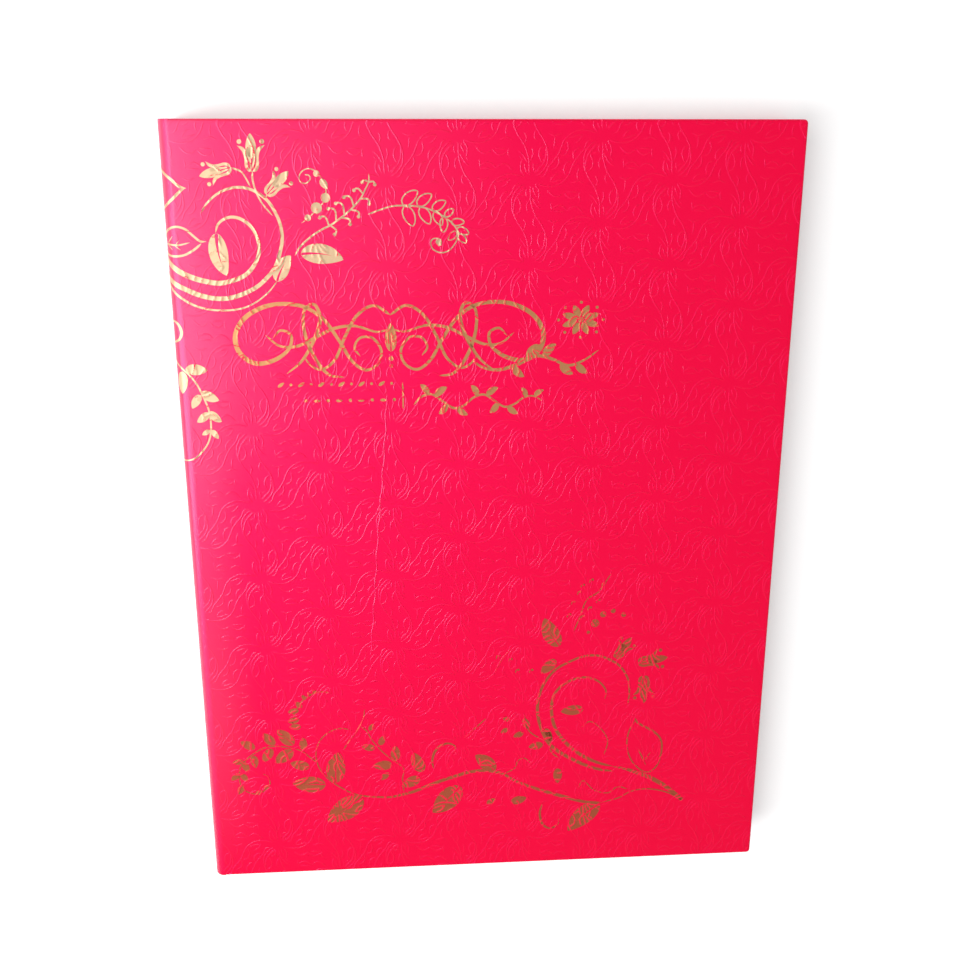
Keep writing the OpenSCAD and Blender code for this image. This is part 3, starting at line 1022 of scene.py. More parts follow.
def glassineSheet(foldX, low, high, z):
    # thin sheet from between the guards, rippled by three sine waves that grow from the fold
    across = np.concatenate([[foldX - 7, foldX - 2], foldX + np.linspace(-1.2, 1.2, 13),
                             np.linspace(foldX + 4, high[0], 40)])
    along = np.linspace(low[1], high[1], 52)
    x, y = np.meshgrid(across, along, indexing="ij")
    grow = smoothStep((x - foldX - 1.5) / leaf["rippleRun"])
    ripple = leaf["ripple"] * grow * (np.sin(x / 17 + z) * np.sin(y / 23 + 2 * z)
                                      + 0.6 * np.sin(x / 41 - y / 13 + 3 * z)
                                      + 0.4 * np.sin(y / 7.5 + z * 5))
    half = np.where(x < foldX + 1.5, 0.03, 0.05)
    return closedSheet(np.stack([x, y, z + ripple + half], -1), np.stack([x, y, z + ripple - half], -1))


cardLow, cardHigh = nodeBox("leaf_1_card")
card = {"half": (cardHigh[2] - cardLow[2]) / 2, "halfHeight": cardHigh[1]}
stripLow, stripHigh = nodeBox("leaf_1_front_strips")
pocket = {"left": stripLow[0], "right": stripHigh[0], "outer": stripHigh[2] - stripLow[2]}
foldX = nodeBox("guard_strips")[1][0]


leafNumber = 1
while "leaf_%d_card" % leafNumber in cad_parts:
    name, body = "leaf_%d" % leafNumber, "leaf_%d" % leafNumber
    low, high = nodeBox(name + "_card")
    z = (low[2] + high[2]) / 2
    slab = roundedSlab(low, high, leaf["corner"], leaf["edge"])
    page = putIn(name + "_page", *slab, leafCard, merge=0.004)
    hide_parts(name + "_card")
    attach(page, body)
    linen = leafTape(foldX, low[0], z, card["halfHeight"])
    tape = putIn(name + "_hinge_cloth", *linen, linenCloth, merge=0.002)
    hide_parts(name + "_tape")
    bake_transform(tape)
    for sign, face in ((1, "front"), (-1, "back")):
        films = [pocketFilm(pocket["left"], pocket["right"],
                            leaf["firstStrip"] - card["halfHeight"] + row * leaf["stripPitch"],
                            z + sign * card["half"], sign) for row in range(leaf["strips"])]
        points, faces = joinParts([film[:2] for film in films])
        piece = putIn(name + "_" + face + "_pockets", points, faces, clearFilm,
                      values={"seam": np.concatenate([film[2] for film in films])}, merge=0.002)
        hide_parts(name + "_" + face + "_strips")
        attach(piece, body)
    leafNumber += 1

sheetNumber = 1
while "interleaf_%d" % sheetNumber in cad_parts:
    node = "interleaf_%d" % sheetNumber
    low, high = nodeBox(node)
    z = (low[2] + high[2]) / 2
    piece = putIn(node + "_sheet", *glassineSheet(foldX, low, high, z), glassinePaper, merge=0.002)
    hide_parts(node)
    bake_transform(piece)
    sheetNumber += 1
print("leaves", leafNumber - 1, "interleaves", sheetNumber - 1)

# foil drawings, in millimetres from the spine edge and the tail edge of the cover
foil = {
    "lift": 0.045,       # above the paper
    "sunk": -0.05,       # its edges dip into the paper
    "step": 0.42,
    "layer": 0.006,      # neighbouring shapes lie at slightly different heights
    "weight": 0.78,      # share of the drawn widths
    "ends": (1.4, 1.4),  # a stroke narrows over these lengths
    "blunt": 0.12,
    "edge": 1.03,        # the sunk edge lies this much further out
}


def foilGrid(flat):
    # faces over a grid of places whose first and last columns are sunk into the paper
    up = np.zeros(flat.shape[:2])
    up[:, [0, -1]] = foil["sunk"] - foil["lift"]
    return np.concatenate([flat, up[..., None]], -1).reshape(-1, 3), gridFaces(*up.shape)


def foilStroke(controls, ends=foil["ends"]):
    # a band along a smooth curve through (x, y, half width); near both ends its width is
    # multiplied by the share of the way run, to the power 0.7
    path, length = smoothPath(controls, foil["step"])
    run = np.linspace(0, length, len(path))
    taper = np.minimum(run / max(ends[0], 1e-6), (length - run) / max(ends[1], 1e-6))
    width = foil["weight"] * path[:, 2] * np.clip(taper, foil["blunt"], 1) ** 0.7
    columns = max(3, int(math.ceil(2 * foil["weight"] * path[:, 2].max() / foil["step"])) + 1)
    across = np.concatenate([[-foil["edge"]], np.linspace(-1, 1, columns), [foil["edge"]]])
    return foilGrid(path[:, None, :2] + leftNormals(path)[:, None]
                    * (across[None, :] * width[:, None])[..., None])


def foilLine(halfWidth, places, ends=foil["ends"]):
    # a stroke that is equally wide between its ends
    return foilStroke([(x, y, halfWidth) for x, y in places], ends)


def leafFrame(base, tip, halfWidth, bend, rows):
    # midrib: straight from base to tip plus 4 t (1 - t) times the bend, to the left; half
    # width: 2.6 t^0.6 (1 - t)^0.8 of the widest
    base, tip = np.array(base, float), np.array(tip, float)
    along = tip - base
    t = np.linspace(0, 1, rows)
    left = np.array([-along[1], along[0]])
    middle = base + np.outer(t, along) + np.outer(4 * t * (1 - t) * bend, left)
    return t, middle, leftNormals(middle), halfWidth * 2.6 * t**0.6 * (1 - t) ** 0.8


def foilLeaf(base, tip, halfWidth, bend=0.0, slit=0.0):
    # a leaf in two halves, with an open slit between them that closes evenly over three
    # quarters of the way to the tip
    rows = max(7, int(math.hypot(tip[0] - base[0], tip[1] - base[1]) / foil["step"]) + 1)
    t, middle, normal, width = leafFrame(base, tip, halfWidth, bend, rows)
    width = width + 0.04
    gap = np.minimum(slit * np.clip(1 - t / 0.75, 0, 1), 0.7 * width)
    columns = max(2, int(math.ceil(halfWidth / foil["step"])) + 1)
    parts = []
    for sign in (-1, 1):
        share = np.linspace(0, 1, columns)[::sign]
        offset = gap[:, None] + (width - gap)[:, None] * share[None]
        offset = sign * np.concatenate([offset[:, :1], offset, offset[:, -1:]], 1)
        parts.append(foilGrid(middle[:, None] + normal[:, None] * offset[..., None]))
    return joinParts(parts)


def foilOutlineLeaf(base, tip, halfWidth, line, bend=0.0, rib=0.7):
    # the same leaf drawn with a line round it and a short line for its midrib
    t, middle, normal, width = leafFrame(base, tip, halfWidth, bend, 9)
    parts = [foilStroke(np.column_stack([middle + sign * normal * width[:, None], np.full(9, line)]),
                        (0.3, 0.5)) for sign in (-1, 1)]
    if rib:
        ribLine = np.column_stack([middle, np.full(9, line * 0.8)])[t <= rib]
        parts.append(foilStroke(ribLine, (0.3, 1.5)))
    return joinParts(parts)


def foilDot(x, y, radius):
    # rings round a centre, from a sunk rim inwards
    angle = np.linspace(0, 2 * math.pi, 13)
    rings = np.array([foil["edge"], 1.0, 0.5, 0.0]) * radius
    up = np.array([foil["sunk"] - foil["lift"], 0, 0, 0])
    points = np.stack([x + np.outer(np.cos(angle), rings), y + np.outer(np.sin(angle), rings),
                       np.tile(up, (13, 1))], -1)
    return points.reshape(-1, 3), gridFaces(13, 4)


bell = {
    "length": 13.6,
    # half of the flower, as (to one side, along, half width)
    "wall": [(0.1, 0.0, 0.4), (1.3, 0.6, 0.75), (2.05, 2.2, 0.75), (2.1, 4.6, 0.7), (2.4, 6.8, 0.85),
             (3.3, 8.2, 0.8), (5.1, 9.3, 0.15)],
    "rib": [(0.4, 0.6, 0.4), (0.6, 3.0, 0.5), (1.1, 7.0, 0.9), (1.0, 8.6, 0.8)],
    "stamen": [(4.2, 10.7, 0.85)],
    "petal": [(0.0, 4.6, 1.9), (0.0, 13.6, 1.9)],
}


def foilBell(base, tip):
    # bell flower: two flaring walls, two ribs, two stamens and a middle petal, all scaled to
    # the flower's length
    base, tip = np.array(base, float), np.array(tip, float)
    along = (tip - base) / bell["length"]
    left = np.array([-along[1], along[0]])

    def place(controls, sign):
        # the same rows in the drawing's millimetres, on this side of the flower
        rows = np.array(controls, float)
        flat = base + np.outer(rows[:, 1], along) + np.outer(sign * rows[:, 0], left)
        return np.column_stack([flat, rows[:, 2] * math.hypot(*along)])

    parts = []
    for sign in (-1, 1):
        parts += [foilStroke(place(bell["wall"], sign), (0.5, 1.0)),
                  foilStroke(place(bell["rib"], sign), (1.0, 0.4)),
                  foilDot(*place(bell["stamen"], sign)[0])]
    low, high = place(bell["petal"], 1)
    return joinParts(parts + [foilLeaf(low[:2], high[:2], low[2])])


def leafPairs(rows, share):
    # leaves given as (base x, base y, tip x, tip y) and perhaps a bend and a slit; their half
    # width is a share of their length
    return [foilLeaf(row[:2], row[2:4], share * math.hypot(row[2] - row[0], row[3] - row[1]), *row[4:])
            for row in rows]


def hook(x, y, dx, dy, line, ball):
    # a leaflet like a crook: out along (dx, dy), over to one side, and a ball at its end
    foot, out = np.array([x, y]), np.array([dx, dy], float)
    over = np.array([dy, -dx]) * (1 if dx * dy >= 0 or dx > 0 else -1)
    end = foot + out + 0.45 * over
    places = [foot, foot + 0.75 * out - 0.05 * over, foot + out + 0.2 * over, end]
    return [foilLine(line, places, (0.4, 0.3)), foilDot(*end, ball)]


headFoil = [
    foilStroke([(13.1, 273.1, .3), (15.5, 276.5, .4), (19.1, 279.6, .5), (23, 281.4, .55), (26.8, 282, .6),
        (30.6, 281.4, .6), (33.9, 279.7, .65), (36.7, 277.4, .7), (39.1, 273.6, .7), (40.8, 269, .7),
        (41.2, 263.9, .75), (40, 258.7, .8), (38.1, 254, .85), (34.8, 250.1, .9), (31.2, 247.1, .9),
        (26.3, 244.7, .95), (21, 243.2, 1), (15.8, 243.2, 1.05), (10.7, 244.4, 1.1), (6.1, 246.4, 1.1),
        (2.4, 248.4, 1.1), (-1.5, 251.2, 1), (-5.5, 254.5, .9)], (1.5, 2)),
    foilStroke([(17.9, 266.5, .35), (18.8, 269.1, .5), (21, 271, .6), (24.1, 271.8, .65),
        (27.4, 270.9, .7), (30.3, 268.6, .7), (32.2, 265.2, .7), (32.9, 261.3, .75), (32.2, 257.5, .8),
        (29.8, 253.6, .9), (26.7, 251, .95), (22.2, 249.3, 1), (17.9, 248.6, 1.1), (13.6, 249.2, 1.15),
        (9, 250.5, 1.2), (4.4, 252.7, 1.2), (.2, 256, 1.1), (-4, 260, .9)], (1.5, 2)),
    foilStroke([(38.7, 249.2, .25), (35.4, 245.3, .28), (30.9, 241.8, .33), (26, 239.6, .38),
        (19.8, 238.8, .42), (13.4, 239.3, .45), (8.3, 240.9, .5), (3.7, 243.8, .55), (.1, 247.3, .55),
        (-3.6, 251.6, .5)]),
    # leaves that run off over the spine
    foilStroke([(-5, 291, .5), (-.8, 288.1, .6), (3.1, 285.2, .6), (6.2, 282.4, .6), (8.7, 281.7, .4)]),
    foilStroke([(-5.5, 272.5, .5), (-.4, 275, .55), (3.4, 277.8, .6), (6.4, 280.6, .6), (8.2, 281.6, .4)]),
    foilStroke([(-1.8, 264.4, .45), (.4, 267.1, .5), (3.9, 268.5, .5), (7.2, 267.7, .5), (10, 265.3, .5),
        (12.2, 263.5, .5), (14.4, 263.3, .3)]),
    foilStroke([(-1.8, 260.6, .4), (.2, 258.8, .45), (3.1, 258.2, .5), (6.6, 258.7, .5), (10.1, 260.6, .5),
        (12.6, 262.6, .5)]), foilStroke([(-.6, 262.6, .35), (4.3, 262.1, .4), (8.6, 263, .25)]),
    foilStroke([(.5, 262.8, .3), (2.6, 265.2, .25)]), foilStroke([(3.6, 262.3, .3), (5, 263.8, .2)]),
    foilStroke([(3.2, 262, .3), (5.2, 260.4, .2)]), foilStroke([(.6, 262.2, .3), (2.4, 260.4, .2)]),
    foilLeaf((18.2, 266.2), (21.0, 251.3), 3.3, bend=-0.07, slit=0.7),
    foilLeaf((38.6, 249.0), (43.9, 258.2), 2.7, bend=0.06, slit=0.5),
    foilLeaf((47.6, 258.7), (62.6, 256.6), 3.5, bend=0.07, slit=0.5),
    foilBell((32.0, 287.4), (31.9, 300.1)), foilBell((24.5, 288.7), (13.6, 285.8)),
    foilBell((36.6, 279.5), (44.5, 287.4)),
    foilStroke([(32, 287.4, .45), (32, 284.1, .4), (33.1, 279.9, .4), (35, 276.2, .35),
        (38.2, 272.2, .3)]),
    foilStroke([(24.5, 288.7, .4), (28, 287.4, .35), (29.7, 284.9, .35), (31.1, 282, .35)]),
    foilLine(.4, [(36.6, 279.7), (36.2, 277.8)]),
    # beads on a thread, curling at the top
    foilStroke([(54.1, 287.4, .25), (51.7, 288.3, .25), (49.3, 287.4, .25), (48.2, 285.6, .25),
        (48.7, 283.7, .25), (50.5, 283.3, .25), (52, 284.7, .25), (51.6, 286, .25),
        (50.2, 286.2, .3)], (0.3, 0.3)),
    foilLine(.25, [(54.1, 287.2), (56.2, 284.8), (57.3, 281.6), (56.9, 277.6), (54, 274.4), (50.6, 271.2),
        (48.3, 269.6)]), foilDot(54.2, 286.6, 1.1), foilLeaf((55.6, 284.7), (57.9, 281.3), 1.2),
    foilDot(57.1, 278.3, 1.65), foilDot(53.8, 274.8, 1.95), foilDot(50.6, 271.4, 1.15),
    foilStroke([(45.4, 258.2, .3), (47.7, 261.6, .4), (52.1, 265.3, .4), (55.6, 267.4, .4),
        (58.5, 268.8, .4), (61.4, 270.7, .4), (64.8, 273.3, .4), (67.7, 276, .38), (69.7, 278.4, .35),
        (71.2, 281.1, .3), (72.5, 283.9, .3), (72.6, 286.5, .25)]),
    foilStroke([(71.9, 272.5, .3), (76.3, 274.1, .35), (80.6, 275.3, .35), (84.4, 275.5, .4),
        (88.7, 275.3, .4), (92.5, 274.6, .35), (96.4, 273.1, .35), (100.2, 270.8, .35),
        (103.1, 267.9, .35), (104, 265, .3), (103, 262.2, .3), (100.6, 259.6, .3), (97.7, 258.9, .3),
        (95, 260.1, .3), (94.1, 262.5, .3), (95.3, 263.9, .3), (97.5, 263.6, .3), (97.9, 262, .3),
        (96.7, 261.3, .3)], (1.0, 0.3)), foilLeaf((96.2, 263.6), (97.9, 261.4), 0.9),
    # at the spine: a hook and a hanging spray
    foilStroke([(-1.5, 235.0, .4), (.5, 234.9, .5), (2.3, 233.8, .6), (3.3, 231.1, .7), (2.5, 228.7, .6),
        (.5, 227.5, .5), (-1.5, 227.3, .4)]),
    foilStroke([(-2.2, 221.5, .35), (.1, 219.6, .4), (2.9, 217.2, .4), (5.6, 214.4, .42),
        (7.8, 210.9, .42), (9.6, 206.5, .42), (11, 202.1, .42), (11.5, 197.6, .42), (11.2, 193.2, .4),
        (9.9, 189.2, .38), (7.3, 185.7, .36), (4.2, 183.2, .35), (.3, 182.4, .3), (-2.3, 182.9, .3)]),
]
# leaflets of the spray, as foot and direction
for leaflet in (
    (58, 268.6, -1.6, 3.6), (60.6, 270.2, -.6, 4.6), (63.6, 272.4, -1, 4.4), (67, 275.2, -1.6, 4),
    (70.4, 279.6, -2.2, 2.2), (58.4, 268.8, 2.4, -2.2), (62.4, 271.4, 3.4, -.8), (65.8, 274.2, 3.2, -1),
    (69.4, 278, 3.2, -.4), (72.3, 283.6, 2.2, .2), (72.3, 283.8, -1.8, .6),
):
    headFoil += hook(*leaflet, 0.38, 0.62)
# open leaves of the branch, as base and tip
openLeaf = {"share": 0.26, "line": 0.3}    # half width as a share of the length, and its outline's
for baseX, baseY, tipX, tipY in (
    (84.4, 275.7, 89.8, 280.6), (89.6, 275.4, 94.8, 279.4), (95, 273.8, 99.8, 277),
    (84.8, 275.2, 87.9, 268.2), (90.4, 274.8, 93.9, 268.9), (95.4, 273.2, 98.2, 268.4),
    (99.4, 271.6, 102.6, 274.2), (98.8, 271.4, 98.6, 266), (101.6, 269.4, 106.4, 269.6),
    (103.4, 266.4, 100.4, 263.4), (103.9, 265.2, 107, 262.2), (103.6, 267.2, 108, 265.4),
):
    halfWidth = openLeaf["share"] * math.hypot(tipX - baseX, tipY - baseY)
    headFoil.append(foilOutlineLeaf((baseX, baseY), (tipX, tipY), halfWidth, openLeaf["line"],
                                    bend=0.04, rib=0))
headFoil += leafPairs([
    (3.7, 217.4, 11.6, 216.9), (2.4, 216.6, 1.8, 208.2), (8.9, 208.9, 15.1, 205.6, -.06),
    (8.6, 207.6, 5.2, 202.6, -.05), (11.2, 201.4, 15.5, 197.4, -.05), (10.9, 201, 6.5, 197.4, .05),
    (11.6, 194.3, 13.9, 190.9), (11, 194.3, 8, 192.4),
], 0.25)

# pen flourish, dotted rows, rule, running vine and rosette across the middle
flourish = {"axis": 79.0, "rosette": (149.5, 234.0)}
halfFlourish = [
    [(36, 228.5, .35), (39, 231.3, .55), (42.6, 229.4, .65), (41.6, 224.4, .75), (36, 220.3, .95),
     (29, 219.3, 1.05), (23.6, 223.4, 1.1), (22.6, 230, 1.1), (27, 236.6, 1.05), (36, 240.6, .95),
     (46.6, 240.2, .85), (54.4, 235.4, .8), (60, 227.4, .75), (64.4, 219.8, .7), (69.4, 216.2, .65),
     (74, 218.4, .6), (75.4, 223.4, .6), (72.4, 228, .6), (67.8, 228.2, .55), (65.6, 224.6, .5),
     (67.6, 221.4, .45)],
    [(47, 221.5, .3), (49.4, 218.2, .45), (53.4, 216.6, .55), (58.4, 220.4, .65), (62.2, 228.6, .7),
     (66.8, 236.4, .7), (73, 240, .65), (79, 236.6, .6)],
    [(40.5, 215.2, .3), (46, 219.8, .6), (50.6, 227, .8), (53.4, 235, .85), (51.6, 240.6, .7),
     (47.8, 238.4, .65), (47.6, 230.6, .75), (50.6, 221.6, .8), (55.6, 214.8, .65), (61.4, 213.6, .35)],
    [(33.4, 229.6, .3), (38.4, 225.6, .55), (44.6, 225.4, .65), (51.2, 228.4, .7), (58.4, 231.8, .7),
     (66.2, 232.6, .6), (73.6, 230.4, .45), (79, 231.4, .35)],
]
titleFoil = []
for line in halfFlourish:
    for sign in (-1, 1):
        titleFoil.append(foilStroke([(flourish["axis"] + sign * (flourish["axis"] - x), y, w)
                                     for x, y, w in line[::sign]], (1.6, 1.6)))
titleFoil += [
    foilLeaf((79, 223), (79, 233.5), 2.1, slit=0.3), foilDot(79, 220.4, 0.9), foilDot(79, 217.6, 0.7),
    foilStroke([(109, 219.4, .35), (113, 216.6, .6), (119, 215.6, .75), (126, 217.6, .8),
        (133, 220.6, .75), (139, 219.4, .7), (145, 216.9, .65), (151, 218.8, .5),
        (156.5, 222.6, .3)], (1.6, 2)),
    foilStroke([(83.0, 201.2, .3), (83.1, 206, .34), (83.0, 211.2, .3)], (1, 1)),
    foilStroke([(87, 202.6, .35), (90, 205.8, .5), (94, 206.6, .55), (98, 203.8, .55), (102, 201.2, .55),
        (106, 202.2, .5), (109.6, 205.2, .5), (113.6, 206.2, .5), (117.4, 203.8, .5), (121.2, 201.4, .5),
        (125, 202.4, .45), (128.4, 204.8, .4), (132, 205.4, .35), (135.4, 203.6, .3)]),
]
titleFoil += leafPairs([
    (130, 219.4, 134.2, 225, .1), (136, 220.2, 140.4, 225, .1), (124.4, 217, 128.6, 212.9, -.1),
    (142.4, 217.8, 147, 213.6, -.1), (148.4, 217.6, 152.6, 214, -.1), (92.4, 206.6, 89.6, 210.4, -.1),
    (95.4, 205.8, 99.6, 209.2, .1), (99.4, 202.8, 96.4, 199, .1), (103.6, 201.2, 107.4, 198.6, -.1),
    (111, 205.8, 108.6, 209.8, -.1), (114.6, 205.8, 118.8, 208.8, .1), (118.6, 203, 115.6, 199.2, .1),
    (122.6, 201.6, 126.4, 198.8, -.1), (129.4, 205, 127.6, 208.6, -.1), (132.6, 205.2, 136, 207.6, .1),
], 0.24)
for i in range(12):
    x = 38.0 + 3.72 * i
    titleFoil.append(foilDot(x, 211.0, 0.5) if i % 2
                     else foilLeaf((x - 1.1, 210.2), (x + 1.2, 211.8), 0.55))
for i in range(9):
    x = 47.0 + 4.1 * i
    titleFoil.append(foilLeaf((x - 1.2, 204.7), (x + 1.2, 204.7), 0.5) if i % 2
                     else foilDot(x, 204.8, 0.6))


def onRosette(degrees, across, up):
    # a place on an oval round the rosette's middle
    x, y = flourish["rosette"]
    return x + across * math.cos(math.radians(degrees)), y + up * math.sin(math.radians(degrees))


for turned in np.arange(22.5, 360, 45):
    titleFoil.append(foilLeaf(onRosette(turned, 1.4, 1.2), onRosette(turned, 7.4, 5.8), 1.25))
    titleFoil.append(foilDot(*onRosette(turned + 22.5, 8.4, 6.5), 0.55))
titleFoil.append(foilDot(*flourish["rosette"], 1.1))

tailFoil = [
    foilStroke([(36.1, 59.2, .35), (32.8, 59.9, .35), (28.7, 60.6, .35), (23.5, 60, .35),
        (19.2, 57.5, .35), (15.8, 54.7, .35), (13.5, 51.6, .33), (12.8, 48.4, .3), (12.8, 44.6, .3),
        (14, 41.3, .28), (16.7, 39.3, .28), (20, 38.8, .28), (23.4, 40.9, .28), (25, 43.5, .28),
        (24.2, 46.8, .28), (22.4, 48, .28)]),
    foilLine(.3, [(36.1, 59.2), (39.3, 57.5), (41.5, 55.3), (44.7, 52.4)]),
    foilLine(.28, [(35.6, 69.3), (35.8, 72.5), (36.8, 75.6), (38.4, 78.7), (40.3, 81.2), (43.2, 83.2),
        (46, 84.4), (49.3, 84.5), (51.1, 83.7)]),
    foilStroke([(58.4, 67.1, .28), (55.1, 67.8, .28), (51.4, 66.9, .28), (48, 64.6, .28), (45.5, 61, .28),
        (44.4, 56.8, .28), (44.7, 52.4, .3), (46.4, 48, .32), (50, 43.5, .35), (54.2, 40.1, .35),
        (57.9, 37.7, .35), (61.7, 36.2, .4), (65.5, 35.4, .45), (69.8, 35, .5), (74.6, 34.8, .55),
        (79.1, 35.7, .7), (83.9, 36.9, .8), (89.3, 39.1, .85), (95.7, 41.6, .9), (101.6, 43.5, .9),
        (107, 45.1, .85), (112.9, 45.7, .8), (118.2, 44.9, .8), (122, 43.6, .75), (125.8, 40.8, .7),
        (130.7, 38.2, .75), (138.9, 34.8, .85), (147, 31.9, .9), (156, 28.9, .8),
        (163.4, 28.2, .5)], (1, 2)),
    foilStroke([(80.1, 37, .3), (79.6, 43, .3), (80.1, 48.2, .3), (75.9, 52.2, .3), (71.7, 56.2, .3),
        (67.6, 61.7, .3), (65.4, 66.1, .28), (63.1, 68.3, .25)]),
    foilStroke([(55.7, 57.9, .3), (58.7, 62.6, .32), (61.7, 66.7, .32), (64.2, 71.9, .28),
        (64.8, 76.1, .22)]),
    foilStroke([(92.6, 47.5, .3), (92.1, 51.2, .55), (93.2, 55.3, .7), (95.9, 58.2, .7), (99, 59, .5),
        (101.7, 57.4, .35), (101.1, 55, .3)]),
    foilStroke([(138.4, 28.9, .3), (137.4, 23.9, .6), (138.6, 18.8, .65), (141.9, 16.5, .5),
        (145.2, 18.5, .35), (145.4, 21, .25)]),
    foilStroke([(105.4, 61.4, .28), (109.7, 65.4, .3), (114.4, 70, .3)]),
    foilStroke([(145.1, 50.1, .35), (141.8, 53.3, .35), (140.6, 57.6, .35), (136.3, 60.2, .35),
        (132.5, 63.3, .35), (130.9, 67.6, .3), (130.3, 71.1, .25)]),
    foilStroke([(122, 43.8, .3), (126.3, 46.1, .3), (127.9, 49.7, .3), (130.5, 50.8, .28),
        (133, 48.6, .25)]),
    foilStroke([(173.2, 74, .3), (173.7, 79, .4), (173, 85.4, .5), (170, 91, .55), (165.5, 94.6, .6),
        (159.8, 96.8, .6), (154.1, 96.6, .6), (148.5, 94.4, .6), (142.9, 91.1, .65), (138.7, 85.8, .7),
        (136.3, 79.6, .75), (135.7, 72.5, .8), (136.9, 66, .85), (139.9, 58.6, .9), (143.6, 54.4, .9),
        (149.5, 50.2, .9), (156.2, 46.5, .85), (162.2, 44.2, .7), (168.4, 43, .5)], (1.5, 3)),
    foilStroke([(163.6, 77, .3), (163.9, 80.9, .4), (160.9, 85, .5), (155.8, 87.1, .55), (150.8, 86.5, .6),
        (145.9, 84, .65), (142.4, 79.4, .7), (141.5, 73, .8), (142.7, 65.8, .85), (145.7, 60, .9),
        (150.9, 54.1, .9), (156.9, 49.7, .85), (162.8, 46.9, .7), (168, 45.4, .4)], (1.5, 3)),
    foilLeaf((154.8, 72.8), (145.4, 71.9), 2.2, slit=0.3), foilLeaf((141.4, 57.9), (139, 64.4), 1.6),
    foilLeaf((144.6, 45.4), (144.7, 38.4), 1.8),
    foilLeaf((162.9, 27.6), (149.6, 15), 4.1, bend=-0.04, slit=0.5),
    foilLeaf((144.3, 101.6), (138, 113.9), 3.4, bend=0.05, slit=0.3),
    foilLeaf((142.8, 95.6), (137, 89.6), 2.2, slit=0.2), foilBell((167.6, 95.4), (173.6, 104.4)),
    foilBell((177, 93.1), (189, 95.1)), foilBell((179.5, 86.9), (180, 74.6)),
    foilStroke([(176.7, 66.9, .35), (174, 60.5, .35), (173.9, 53.1, .35), (176.8, 46.4, .35),
        (182.1, 42, .35), (186.5, 44.4, .4), (188.4, 50.9, .45), (188.1, 56.7, .5), (185, 60.9, .55),
        (178.2, 65.2, .55), (176.4, 67.9, .4)]), foilStroke([(182, 45.4, .3), (178.7, 52.9, .45)]),
    foilLine(.25, [(181.2, 47.4), (183.8, 51.4)]),
    foilStroke([(168, 45.2, .3), (172.6, 44.2, .7), (177.7, 42.2, 1), (183.7, 39.5, 1.15),
        (190.6, 35, 1.15), (198.5, 27.9, .9), (192.3, 31.6, .4), (184, 33.8, .35), (176.6, 33.1, .3),
        (170.8, 30, .3), (163.4, 28.2, .3)], (1.5, 1.5)), foilDot(155.9, 107.3, 0.7),
    foilDot(158.5, 111.2, 1.7), foilDot(161.7, 115, 1.3), foilDot(165.7, 116.4, 1), foilDot(170, 114.6, 1),
    foilStroke([(149.9, 107.9, .3), (152.2, 113.9, .32), (154.8, 121.4, .32), (159.6, 125, .3),
        (164.2, 132.3, .25)]),
    foilLine(.28, [(154.3, 64.5), (157.8, 66.8), (162.3, 63.4), (165.4, 57.6), (164.1, 51.1)]),
    foilLine(.28, [(153.6, 35.8), (155.7, 39), (160.3, 34.4), (166.2, 32.7), (170.4, 35.4),
        (174.6, 34.2)]), foilStroke([(118.1, 91.2, .25), (120.9, 96.5, .28), (124.4, 101, .25)]),
]
tailFoil += leafPairs([
    (19.8, 59.9, 14.2, 63.2), (14.8, 54.1, 10.4, 53.7), (14.8, 53.7, 16.6, 49), (18.9, 56.7, 19.7, 51),
    (27.8, 61.2, 23.4, 66.6), (26.7, 59.4, 22.7, 53.6), (35.5, 60.9, 29.3, 68, 0, .25),
    (35.1, 58.4, 27.6, 53, 0, .25), (39.3, 58.4, 39.6, 64.2), (41.5, 50.3, 33.8, 52.5, 0, .2),
    (47.8, 42.1, 34.4, 43.2, .03, .35), (52.1, 42.6, 53.7, 56.8, .04, .35),
    (62.8, 34.9, 48.0, 24.3, 0, .4), (12.8, 48.4, 9.4, 45.6), (13.5, 48.4, 16.1, 44.8),
    (14.1, 42.9, 11.9, 38.9), (19, 38.6, 21.7, 40.3), (22.5, 40.7, 24.6, 42.7), (38.9, 69.2, 34.2, 69),
    (38.3, 72.4, 33.6, 71.6), (38.3, 76.6, 33.9, 75.9), (39.7, 77.8, 36.9, 80.5), (41.3, 81.2, 39.8, 83.5),
    (43.2, 82.7, 42.3, 84.6), (46, 84.1, 44, 85.4), (66.4, 66.4, 68.5, 69.4), (68.5, 57.9, 63.1, 59.3),
    (70.6, 59.4, 72.6, 63.8), (76.9, 51.8, 77, 58.9), (75.5, 50.1, 67.6, 49.7), (73.9, 46.4, 70.7, 43.1),
    (88.2, 46.3, 84.5, 55.3, .04, .2), (86.9, 43.6, 79.4, 39.6, 0, .2), (118, 45.2, 110, 53, -.05, .25),
    (103.6, 38.7, 92, 26.6, .03, .5), (130, 62.8, 125.8, 61), (123.6, 65, 120.6, 63),
    (138.2, 57, 132.2, 55.9), (132, 64.6, 130.1, 69.6), (140.6, 58.2, 139.8, 64.4),
    (114.8, 29.8, 118.7, 31.9), (125.1, 30, 131.6, 31.9), (124.4, 68.6, 121.2, 70.2),
], 0.27)
# small crooks round the curl
for x, y in (
    (148, 115.5), (149.6, 121.1), (153.6, 114.6), (151.9, 125.2), (156.3, 118.3), (159.6, 121.5),
    (153.2, 128.1), (156.6, 130.3), (161.6, 128.6), (124.4, 96.6), (119.4, 98.2), (127.3, 91.7),
    (133, 91.5),
):
    tailFoil += hook(x - 0.9, y - 1.5, 0.5, 1.6, 0.26, 0.5)


